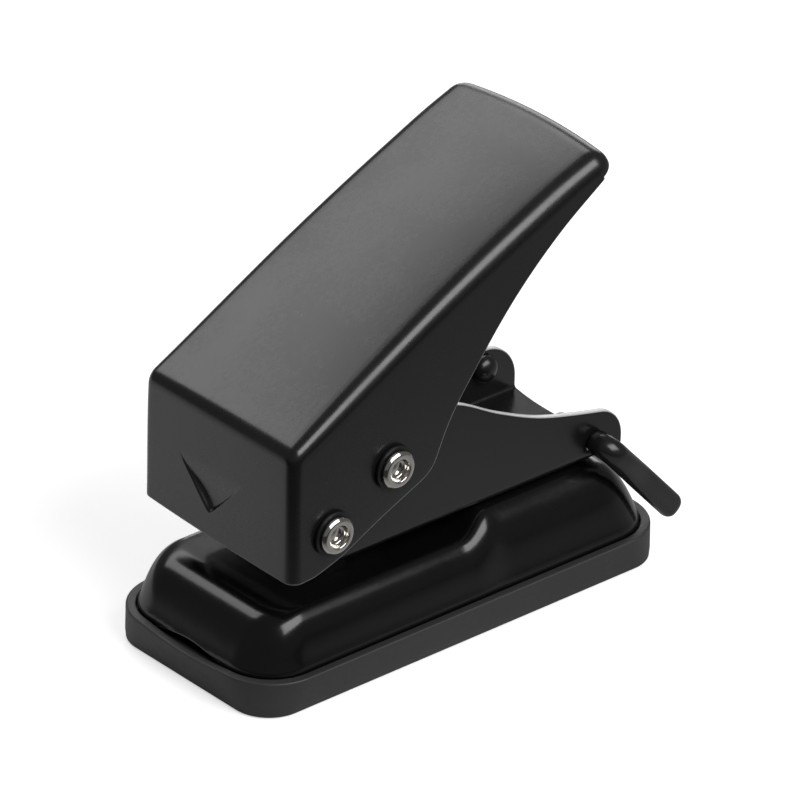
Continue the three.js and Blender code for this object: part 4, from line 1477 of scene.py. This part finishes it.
        crown = smooth_values(self.bend_marks, self.crowns, distance)
        bend_w = smooth_values(self.bend_marks, self.bend_widths, distance)
        bend_h = smooth_values(self.bend_marks, self.bend_heights, distance)
        wall = self.half_width
        edge_y = wall - bend_w
        last = np.arctan(bend_h / (bend_w * 2 * crown / edge_y))
        join_y = wall - bend_w + bend_w * np.cos(last)
        start_depth = crown + bend_h * np.sin(last)

        n_side, n_bend = len(side), len(bend)
        depth = np.empty_like(x)
        inward = np.empty_like(x)
        depth[:, :n_side] = start_depth[:, :n_side]
        inward[:, :n_side] = 0.0
        part = slice(n_side, n_side + n_bend)
        angle = last[:, part] * bend
        depth[:, part] = start_depth[:, part] - bend_h[:, part] * np.sin(angle)
        inward[:, part] = bend_w[:, part] * (1 - np.cos(angle))
        part = slice(n_side + n_bend, None)
        y = join_y[:, part] * (1 - flat[1:])
        depth[:, part] = crown[:, part] * (1 - flat[1:]) ** 2
        inward[:, part] = wall - y

        far_enough = smoothstep(total - self.arc_start, total - self.arc_full, distance)
        back = self.sagitta(wall - inward) * far_enough
        px = x - depth * nx - back
        pz = z - depth * nz - back * self.crest_slope
        edge = self.lower_edge()
        down = self._edge_distance(rows, total, spine, edge)
        foot = points_at(edge, down)
        lean = side[None, :]
        px[:, :n_side] = foot[:, :1] + (px[:, :n_side] - foot[:, :1]) * lean
        pz[:, :n_side] = foot[:, 1:] + (pz[:, :n_side] - foot[:, 1:]) * lean
        py = -(wall - inward) + self.draft * (pz - self.foot[1]) * np.clip(1 - inward / wall, 0, 1)
        return np.stack([px, py, pz], axis=-1)

    def _edge_distance(self, rows: Array, total: float, spine: Array, edge: Array) -> Array:
        """Distance along the cut edge that belongs to each row, through matching places of both lines.

        Args:
            rows: Distances of the rows along the middle line.
            total: Length of the middle line.
            spine: Middle line.
            edge: Cut edge.

        Returns:
            Distance along the cut edge for each row.
        """
        along = lengths_along(edge)
        spine_length = lengths_along(spine)
        upper = spine[:, 0] + 1e-9 * np.arange(len(spine))
        tail = len(spine) // 3
        on_crest = np.interp(self.matched_crest, upper[tail:], spine_length[tail:])
        on_edge = np.interp(self.matched_edge, edge[:, 0], along)
        places = [0.0, self.face_ends[1], *on_crest, total]
        return np.interp(rows, places, [self.edge_start, *on_edge, along[-1]])

    def build(self, bench: Bench) -> None:
        """Makes the sheet and cuts the rivet holes through both sides.

        Args:
            bench: Where the piece is handed in.
        """
        sheet = Skin().add_sheet(self.outer_grid(), self.sheet, self.edge_bulge)
        piece = sheet.to_object("lever_pressing")
        places = [(spot, ends) for spot in (PIVOT, DRIVE) for ends in self.hole_ends]
        cut_away(piece, [rod_cutter(Axis.Y, spot, self.rivet_hole, *ends) for spot, ends in places])
        bench.hand_in(piece, SATIN_BLACK, "lever", "lever_paint", "lever")


@dataclass
class LeverRivet:
    """Semi-tubular rivet with its washers and spacers: rolled end near, low dome far."""

    name: str
    centre: Point
    body: str
    shank: float = 2.5
    bore: float = 1.5
    flange: float = 3.8
    end_y: float = 23.9
    seat_y: float = 22.9
    ring_bore: float = 2.8
    washer_radius: float = 4.5
    washer_y: tuple[float, float] = (22.0, 22.6)
    spacer_y: tuple[float, float] = (15.7, 20.15)

    def rivet_profile(self) -> list[Point]:
        """Profile from the bore's bottom over the rolled flange and along the shank to the far head.

        Returns:
            Rows of (radius, y, corner radius).
        """
        return [
            (0.0, -22.7, 0.0),
            (0.6, -22.6, 0.5),
            (self.bore, -22.45, 0.4),
            (2.0, -22.7, 0.4),
            (2.3, -self.end_y, 0.35),
            (3.3, -self.end_y, 0.5),
            (self.flange, -23.4, 0.35),
            (self.flange, -self.seat_y, 0.2),
            (self.shank, -self.seat_y, 0.0),
            (self.shank, self.seat_y, 0.0),
            (self.flange, self.seat_y, 0.12),
            (self.flange - 0.15, 23.35, 0.3),
            (2.2, 23.82, 2.0),
            (0.0, self.end_y, 0.0),
        ]

    def ring_profile(self, radius: float, low: float, high: float) -> list[Point]:
        """Closed profile of a flat ring with rounded edges, starting on its lower face.

        Args:
            radius: Outer radius.
            low: Lower face, along Y.
            high: Upper face, along Y.

        Returns:
            Rows of (radius, y, corner radius).
        """
        middle = (radius + self.ring_bore) / 2
        edge = 0.14
        return [
            (middle, low, 0.0),
            (radius, low, edge),
            (radius, high, edge),
            (self.ring_bore, high, edge),
            (self.ring_bore, low, edge),
            (middle, low, 0.0),
        ]

    def build(self, bench: Bench) -> None:
        """Turns the rivet, two washers and two spacers.

        Args:
            bench: Where the pieces are handed in.
        """
        rivet = turned_piece(f"{self.name}_rivet_turning", self.rivet_profile(), Axis.Y, self.centre)
        bench.hand_in(rivet, NICKEL, self.body, "nickel_plate", f"{self.name}_rivet")
        for kind, (low, high) in (("washer", self.washer_y), ("spacer", self.spacer_y)):
            for side, ends in (("near", (-high, -low)), ("far", (low, high))):
                profile = self.ring_profile(self.washer_radius, *ends)
                ring = turned_piece(f"{self.name}_{kind}_{side}_ring", profile, Axis.Y, self.centre, steps=72)
                bench.hand_in(ring, BLACK_NYLON, self.body, "black_nylon", f"{self.name}_{kind}_{side}")


# ------------------------------------------------------------------------ punch


@dataclass
class Punch:
    """Cutter pin, its guide bush and the return spring."""

    pin_radius: float = 3.0
    pin_tip: float = 22.9
    head_radius: float = 5.0
    head_height: float = 2.2
    top: float = 41.007
    saddle_radius: float = 4.0
    saddle_depth: float = 1.2
    saddle_reach: float = 6.0
    bore: float = 3.3
    guide_radius: float = 5.0
    flange_radius: float = 6.6
    floor: float = 22.5
    flange_bottom: float = 24.2
    flange_top: float = 25.4
    coil_radius: float = 4.1
    wire: float = 0.45
    turns: float = 5.5
    flat_turns: float = 0.8
    flat_pitch: float = 0.945
    end_gap: float = 0.05
    end_taper: float = 260.0
    coil_steps: int = 420
    wire_steps: int = 14
    travel: float = 8.6

    def build(self, bench: Bench) -> None:
        """Makes the three pieces.

        Args:
            bench: Where the pieces are handed in.
        """
        self._pin(bench)
        self._guide(bench)
        self._spring(bench)

    def _pin(self, bench: Bench) -> None:
        """Turns the pin and grinds the saddle across its tip.

        Args:
            bench: Where the piece is handed in.
        """
        head = self.top - self.head_height
        corners = [
            (0.0, self.pin_tip, 0.0),
            (self.pin_radius, self.pin_tip, 0.03),
            (self.pin_radius, head, 0.25),
            (self.head_radius, head, 0.2),
            (self.head_radius, self.top, 0.45),
            (0.0, self.top, 0.0),
        ]
        piece = turned_piece("cutter_turning", corners, Axis.Z, PUNCH)
        saddle = (PUNCH[0], self.pin_tip - self.saddle_radius + self.saddle_depth)
        rod = rod_cutter(Axis.Y, saddle, self.saddle_radius, -self.saddle_reach, self.saddle_reach)
        cut_away(piece, [rod], sharp_degrees=40.0)
        bench.hand_in(piece, GROUND_STEEL, "punch", "hardened_steel", "punch_pin")

    def _guide(self, bench: Bench) -> None:
        """Turns the flanged bush.

        Args:
            bench: Where the piece is handed in.
        """
        corners = [
            (self.bore, self.floor + 1.0, 0.0),
            (self.bore, self.floor, 0.1),
            (self.guide_radius, self.floor, 0.3),
            (self.guide_radius, self.flange_bottom, 0.1),
            (self.flange_radius, self.flange_bottom, 0.2),
            (self.flange_radius, self.flange_top, 0.3),
            (self.bore, self.flange_top, 0.3),
            (self.bore, self.floor + 1.0, 0.0),
        ]
        piece = turned_piece("guide_turning", corners, Axis.Z, PUNCH)
        bench.hand_in(piece, GROUND_STEEL, "base", "hardened_steel", "punch_guide")

    def _spring(self, bench: Bench) -> None:
        """Winds the wire: a helix whose first and last turns lie flat.

        The height rises evenly over the inner turns. The wire's section is a
        circle in the plane of the coil's radius and the axis, closed to a point at both ends.

        Args:
            bench: Where the piece is handed in.
        """
        low = self.flange_top + self.wire + self.end_gap
        high = self.top - self.head_height - self.wire - self.end_gap
        share = np.linspace(0.0, 1.0, self.coil_steps)
        turn = share * self.turns
        angle = 2 * np.pi * turn
        end, pitch = self.flat_turns, self.flat_pitch
        inner = np.clip((turn - end) / (self.turns - 2 * end), 0.0, 1.0)
        flat = pitch * (np.clip(turn, 0.0, end) + np.clip(turn - self.turns + end, 0.0, end))
        z = low + flat + (high - low - 2 * end * pitch) * inner
        taper = np.sqrt(np.clip(np.minimum(share, 1 - share) * self.end_taper, 0.0, 1.0))[:, None]
        ring = np.arange(self.wire_steps) * (2 * np.pi / self.wire_steps)
        out = self.coil_radius + self.wire * taper * np.cos(ring)
        rise = z[:, None] + self.wire * taper * np.sin(ring)
        x = PUNCH[0] + out * np.cos(angle)[:, None]
        y = out * np.sin(angle)[:, None]
        piece = Skin().add_grid(np.stack([x, y, rise], axis=-1), wraps=True).to_object("spring_winding")
        bench.hand_in(piece, SPRING_WIRE, "base", "spring_steel", "return_spring")
        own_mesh(piece)


# ------------------------------------------------------------------------ lock arm


@dataclass
class LockArm:
    """Rod through the near ear that bends down into a flattened, round-ended paddle."""

    end: Point = (53.9, 9.1)
    radius: float = 1.95
    bulb_radius: float = 2.5
    inner_y: float = -4.0
    ear_face: float = 15.75
    swell_length: float = 0.5
    squareness: float = 0.22
    section_steps: int = 48
    cap_steps: int = 12
    length_steps: int = 130
    tip_steps: int = 16
    plane_y: float = -19.6
    bend_radius: float = 2.6
    half_wide: float = 2.55
    half_thick: float = 1.75
    flatten_start: float = 1.0
    flatten_end: float = 11.0
    clip_radius: float = 3.4
    clip_y: tuple[float, float] = (-13.7, -12.7)
    clip_gap_degrees: float = 50.0
    clip_play: float = 0.3
    clip_edge: float = 0.18
    clip_steps: int = 90

    def build(self, bench: Bench) -> None:
        """Makes the arm and its clip.

        Args:
            bench: Where the pieces are handed in.
        """
        piece = Skin().add_grid(self.arm_grid(), wraps=True).to_object("arm_forging")
        bench.hand_in(piece, ARM_LACQUER, "lock_arm", "arm_lacquer", "lock_arm")
        clip = Skin().add_grid(self.clip_grid(), wraps=True).to_object("clip_stamping")
        bench.hand_in(clip, SPRING_WIRE, "base", "spring_steel", "lock_arm_clip")

    def arm_grid(self) -> Array:
        """Surface of the arm: a superellipse carried along its middle line.

        The middle line runs along Y, turns on an arc and goes down the arm. The section is
        round on the rod and turns into a wide, thin one after the bend. Both ends close:
        half the width follows a quarter circle there.

        Returns:
            Grid of points.
        """
        reach = np.array(self.end) - np.array(ARM_PIVOT)
        run = float(np.linalg.norm(reach))
        down = np.array([reach[0], 0.0, reach[1]]) / run
        wide = np.array([-down[2], 0.0, down[0]])
        outward = np.array([0.0, -1.0, 0.0])
        straight = abs(self.plane_y - self.inner_y)
        flat = [(0.0, 0.0, 0.0), (straight, 0.0, self.bend_radius), (straight, run + self.half_wide, 0.0)]
        line = rounded_outline(flat, steps=24)
        near_end = lengths_along(line)[-1] - self.half_wide
        quarter = np.linspace(0.0, np.pi / 2, self.cap_steps)
        round_cap = np.sin(quarter)
        distance = np.concatenate([
            (1 - np.cos(quarter)) * self.radius,
            np.linspace(self.radius, near_end, self.length_steps)[1:-1],
            near_end + np.sin(np.linspace(0.0, np.pi / 2, self.tip_steps)) * self.half_wide,
        ])
        spot = points_at(line, distance)
        step = 0.15
        ahead = unit(points_at(line, distance + step) - points_at(line, distance - step))
        turn_end = straight - self.bend_radius + self.bend_radius * np.pi / 2
        flattened = smoothstep(turn_end + self.flatten_start, turn_end + self.flatten_end, distance)
        hole_end = self.ear_face - abs(self.inner_y)
        swell = smoothstep(hole_end, hole_end + self.swell_length, distance)
        thick = self.radius + (self.bulb_radius - self.radius) * swell
        half_w = thick + (self.half_wide - thick) * flattened
        half_t = thick + (self.half_thick - thick) * flattened
        cap = np.ones_like(distance)
        cap[: len(round_cap)] = round_cap
        tail = np.clip((distance - near_end) / self.half_wide, 0.0, 1.0)
        cap = cap * np.sqrt(1 - tail**2)
        thin = np.where(tail > 0, 1 - tail**4, 1.0)
        thin[: len(round_cap)] = round_cap
        angle = np.arange(self.section_steps) * (2 * np.pi / self.section_steps)
        power = (1.0 - self.squareness * flattened)[:, None]
        across = np.sign(np.cos(angle)) * np.abs(np.cos(angle)) ** power
        through = np.sign(np.sin(angle)) * np.abs(np.sin(angle)) ** power
        start = np.array([ARM_PIVOT[0], self.inner_y, ARM_PIVOT[1]])
        middle = start + spot[:, :1] * outward + spot[:, 1:] * down
        side = -ahead[:, 1:] * outward + ahead[:, :1] * down
        width = (half_w * cap)[:, None, None] * across[:, :, None] * wide
        depth = (half_t * thin)[:, None, None] * through[:, :, None] * side[:, None, :]
        return middle[:, None, :] + width + depth

    def clip_grid(self) -> Array:
        """Spring clip: a flat section carried round most of a circle, closed at both ends.

        Returns:
            Grid of points, one row for each place round the rod.
        """
        bore, edge = self.radius + self.clip_play, self.clip_edge
        low, high = self.clip_y
        section = rounded_outline([
            (bore, (low + high) / 2, 0.0),
            (bore, low, edge),
            (self.clip_radius, low, edge),
            (self.clip_radius, high, edge),
            (bore, high, edge),
            (bore, (low + high) / 2, 0.0),
        ])[:-1]
        half_gap = self.clip_gap_degrees / 2
        angle = np.radians(np.linspace(-90.0 + half_gap, 270.0 - half_gap, self.clip_steps))
        middle = section.mean(axis=0)
        ends = np.ones(len(angle))
        ends[0] = ends[-1] = 0.0
        angle[0], angle[-1] = angle[1], angle[-2]
        profile = middle + (section - middle) * ends[:, None, None]
        x = ARM_PIVOT[0] + profile[..., 0] * np.cos(angle)[:, None]
        z = ARM_PIVOT[1] + profile[..., 0] * np.sin(angle)[:, None]
        return np.stack([x, profile[..., 1], z], axis=-1)


@dataclass
class EarStud:
    """Domed stud on the inside of the far ear, its shank upset outside."""

    radius: float = 2.9
    rise: float = 2.4
    face: float = 13.7
    rim: float = 0.2
    shank: float = 1.5
    outside: float = 15.7
    upset_width: float = 0.8
    upset_height: float = 0.6
    dome_steps: int = 16

    def build(self, bench: Bench) -> None:
        """Turns the stud; the dome is a quarter ellipse.

        Args:
            bench: Where the piece is handed in.
        """
        rim = self.face - self.rim
        rise = self.rise - self.rim
        upset_face = self.outside + self.upset_height
        angles = np.radians(np.linspace(0.0, 90.0, self.dome_steps))
        dome = [(self.radius * math.sin(a), rim - rise * math.cos(a), 0.0) for a in angles]
        corners = [
            *dome,
            (self.radius, self.face, 0.15),
            (self.shank, self.face, 0.0),
            (self.shank, self.outside, 0.0),
            (self.shank + self.upset_width, self.outside, 0.15),
            (self.shank + self.upset_width / 2, upset_face, 0.3),
            (0.0, upset_face, 0.0),
        ]
        piece = turned_piece("stud_turning", corners, Axis.Y, STUD)
        bench.hand_in(piece, ARM_LACQUER, "base", "arm_lacquer", "ear_stud")


# ------------------------------------------------------------------------ studio


@dataclass
class Softbox:
    """One rectangular lamp that looks at a point."""

    name: str
    place: Point
    width: float
    height: float
    power: float
    target: Point = (0.0, 0.0, 0.05)

    def build(self) -> None:
        """Makes the lamp."""
        lamp = bpy.data.lights.new(self.name, "AREA")
        lamp.shape = "RECTANGLE"
        lamp.size = self.width
        lamp.size_y = self.height
        lamp.energy = self.power
        holder = bpy.data.objects.new(self.name, lamp)
        bpy.context.scene.collection.objects.link(holder)
        holder.location = self.place
        aim = Vector(self.target) - Vector(self.place)
        holder.rotation_euler = aim.to_track_quat("-Z", "Y").to_euler()


@dataclass
class Studio:
    """Camera, pale floor with a painted light falloff in reflections, soft lamps and a plain world."""

    azimuth: float = -41.6277
    elevation: float = 28.6645
    roll: float = 1.2754
    distance: float = 1.5
    aim: Point = (0.012586, 0.012529, 0.03241)
    focal_length: float = 353.57
    sensor: float = 36.0
    floor_size: float = 12.0
    floor_drop: float = 0.0002
    floor_colour: float = 0.9
    floor_glow: float = 0.58
    world_light: float = 0.12
    # Painted light falloff on the floor in reflections: darker forward and on a painted shade side.
    painted_falloff_forward: Point = (-0.66, -0.75)
    painted_falloff_forward_ends: Point = (0.115, 0.015)
    painted_falloff_sideways: Point = (-0.75, 0.66)
    painted_falloff_sideways_ends: Point = (-0.15, 0.05)
    painted_shade_side: float = 0.28
    painted_falloff_range: float = 0.8
    painted_falloff_least: float = 0.04

    def build(self) -> None:
        """Sets up the whole studio."""
        scene = bpy.context.scene
        scene.view_settings.view_transform = "Standard"
        self._camera()
        self._floor()
        self._world()
        self._lamps()

    def _camera(self) -> None:
        """Places the camera on a ray from the aim point, turned by its roll."""
        a, e, r = (math.radians(v) for v in (self.azimuth, self.elevation, self.roll))
        back = Vector((math.sin(a) * math.cos(e), -math.cos(a) * math.cos(e), math.sin(e)))
        level = Vector((-back.y, back.x, 0.0)).normalized()
        upright = back.cross(level)
        right = level * math.cos(r) + upright * math.sin(r)
        up = upright * math.cos(r) - level * math.sin(r)
        data = bpy.data.cameras.new("camera")
        data.sensor_width = self.sensor
        data.lens = self.focal_length
        data.clip_end = 50.0
        camera = bpy.data.objects.new("camera", data)
        bpy.context.scene.collection.objects.link(camera)
        turn = Matrix((right, up, back)).transposed().to_4x4()
        camera.matrix_world = Matrix.Translation(Vector(self.aim) + back * self.distance) @ turn
        bpy.context.scene.camera = camera

    def _floor(self) -> None:
        """Lays the floor."""
        half = self.floor_size / 2
        mesh = bpy.data.meshes.new("floor")
        corners = [(-half, -half, 0), (half, -half, 0), (half, half, 0), (-half, half, 0)]
        mesh.from_pydata(corners, [], [(0, 1, 2, 3)])
        mesh.materials.append(self._floor_material())
        floor = bpy.data.objects.new("floor", mesh)
        floor.location.z = -self.floor_drop
        bpy.context.scene.collection.objects.link(floor)

    def _floor_material(self) -> bpy.types.Material:
        """White to the camera where no shadow falls; to everything else a grey with painted light falloff.

        Returns:
            The material.
        """
        material = bpy.data.materials.new("pale_floor")
        material.use_nodes = True
        tree = material.node_tree
        tree.nodes.clear()
        seen = tree.nodes.new("ShaderNodeBsdfDiffuse")
        seen.inputs["Color"].default_value = (self.floor_colour, self.floor_colour, self.floor_colour, 1)
        glow = tree.nodes.new("ShaderNodeEmission")
        glow.inputs["Strength"].default_value = self.floor_glow
        both = tree.nodes.new("ShaderNodeAddShader")
        tree.links.new(seen.outputs[0], both.inputs[0])
        tree.links.new(glow.outputs[0], both.inputs[1])
        # Rays other than the camera's see a diffuse floor whose grey is painted light falloff.
        plain = tree.nodes.new("ShaderNodeBsdfDiffuse")
        tree.links.new(self._floor_painted_falloff(tree), plain.inputs["Color"])
        path = tree.nodes.new("ShaderNodeLightPath")
        pick = tree.nodes.new("ShaderNodeMixShader")
        tree.links.new(path.outputs["Is Camera Ray"], pick.inputs[0])
        tree.links.new(plain.outputs[0], pick.inputs[1])
        tree.links.new(both.outputs[0], pick.inputs[2])
        out = tree.nodes.new("ShaderNodeOutputMaterial")
        tree.links.new(pick.outputs[0], out.inputs["Surface"])
        return material

    def _floor_painted_falloff(self, tree: bpy.types.NodeTree) -> bpy.types.NodeSocket:
        """Painted light falloff on the floor in reflections: the least tone, plus a range that fades forward
        and sideways.

        Args:
            tree: The floor's node tree.

        Returns:
            The tone.
        """
        place = tree.nodes.new("ShaderNodeTexCoord")
        parts = tree.nodes.new("ShaderNodeSeparateXYZ")
        tree.links.new(place.outputs["Object"], parts.inputs["Vector"])
        x, y = parts.outputs["X"], parts.outputs["Y"]
        forward, sideways = (
            add_up(tree, multiply(tree, x, way[0]), multiply(tree, y, way[1]))
            for way in (self.painted_falloff_forward, self.painted_falloff_sideways)
        )
        # Painted light falloff: fades forward, and darker towards the painted shade side.
        painted_forward_fade = ramp(tree, forward, *self.painted_falloff_forward_ends)
        across = ramp(tree, sideways, *self.painted_falloff_sideways_ends)
        lean = add_up(tree, multiply(tree, across, 1 - self.painted_shade_side), self.painted_shade_side)
        return add_up(tree, multiply(tree, painted_forward_fade, lean, self.painted_falloff_range), self.painted_falloff_least)

    def _world(self) -> None:
        """White to the camera, dim grey as light."""
        world = bpy.data.worlds.new("studio")
        bpy.context.scene.world = world
        world.use_nodes = True
        tree = world.node_tree
        shade = tree.nodes["Background"]
        path = tree.nodes.new("ShaderNodeLightPath")
        level = multiply(tree, path.outputs["Is Camera Ray"], 1 - self.world_light)
        tree.links.new(add_up(tree, level, self.world_light), shade.inputs["Strength"])
        shade.inputs["Color"].default_value = (1, 1, 1, 1)

    def _lamps(self) -> None:
        """Places the soft lamps."""
        lamps = (
            Softbox("far_softbox", place=(0.13, 0.72, 0.84), width=1.2, height=0.5, power=4.5),
            Softbox("near_softbox", place=(0.12, -0.86, 0.84), width=1.06, height=0.62, power=9.8),
            Softbox("rear_softbox", place=(1.0, 0.88, 0.27), width=0.8, height=0.48, power=2.3),
        )
        for lamp in lamps:
            lamp.build()


# ------------------------------------------------------------------------ making


def main() -> None:
    """Builds the studio and every sub-assembly."""
    logging.basicConfig(level=logging.INFO, format="%(name)s %(message)s", stream=sys.stdout)
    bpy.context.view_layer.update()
    Studio().build()
    bench = Bench(SharedEffects())
    for part in (
        Tray(), Pan(), DieRing(), ChannelFrame(), FrameRivets(), Lever(),
        LeverRivet("pivot", PIVOT, "base"),
        LeverRivet("drive", DRIVE, "lever"),
        Punch(), LockArm(), EarStud(),
    ):
        part.build(bench)
        LOG.info("%s done", type(part).__name__)
    bpy.context.view_layer.update()


if __name__ == "__main__":
    main()
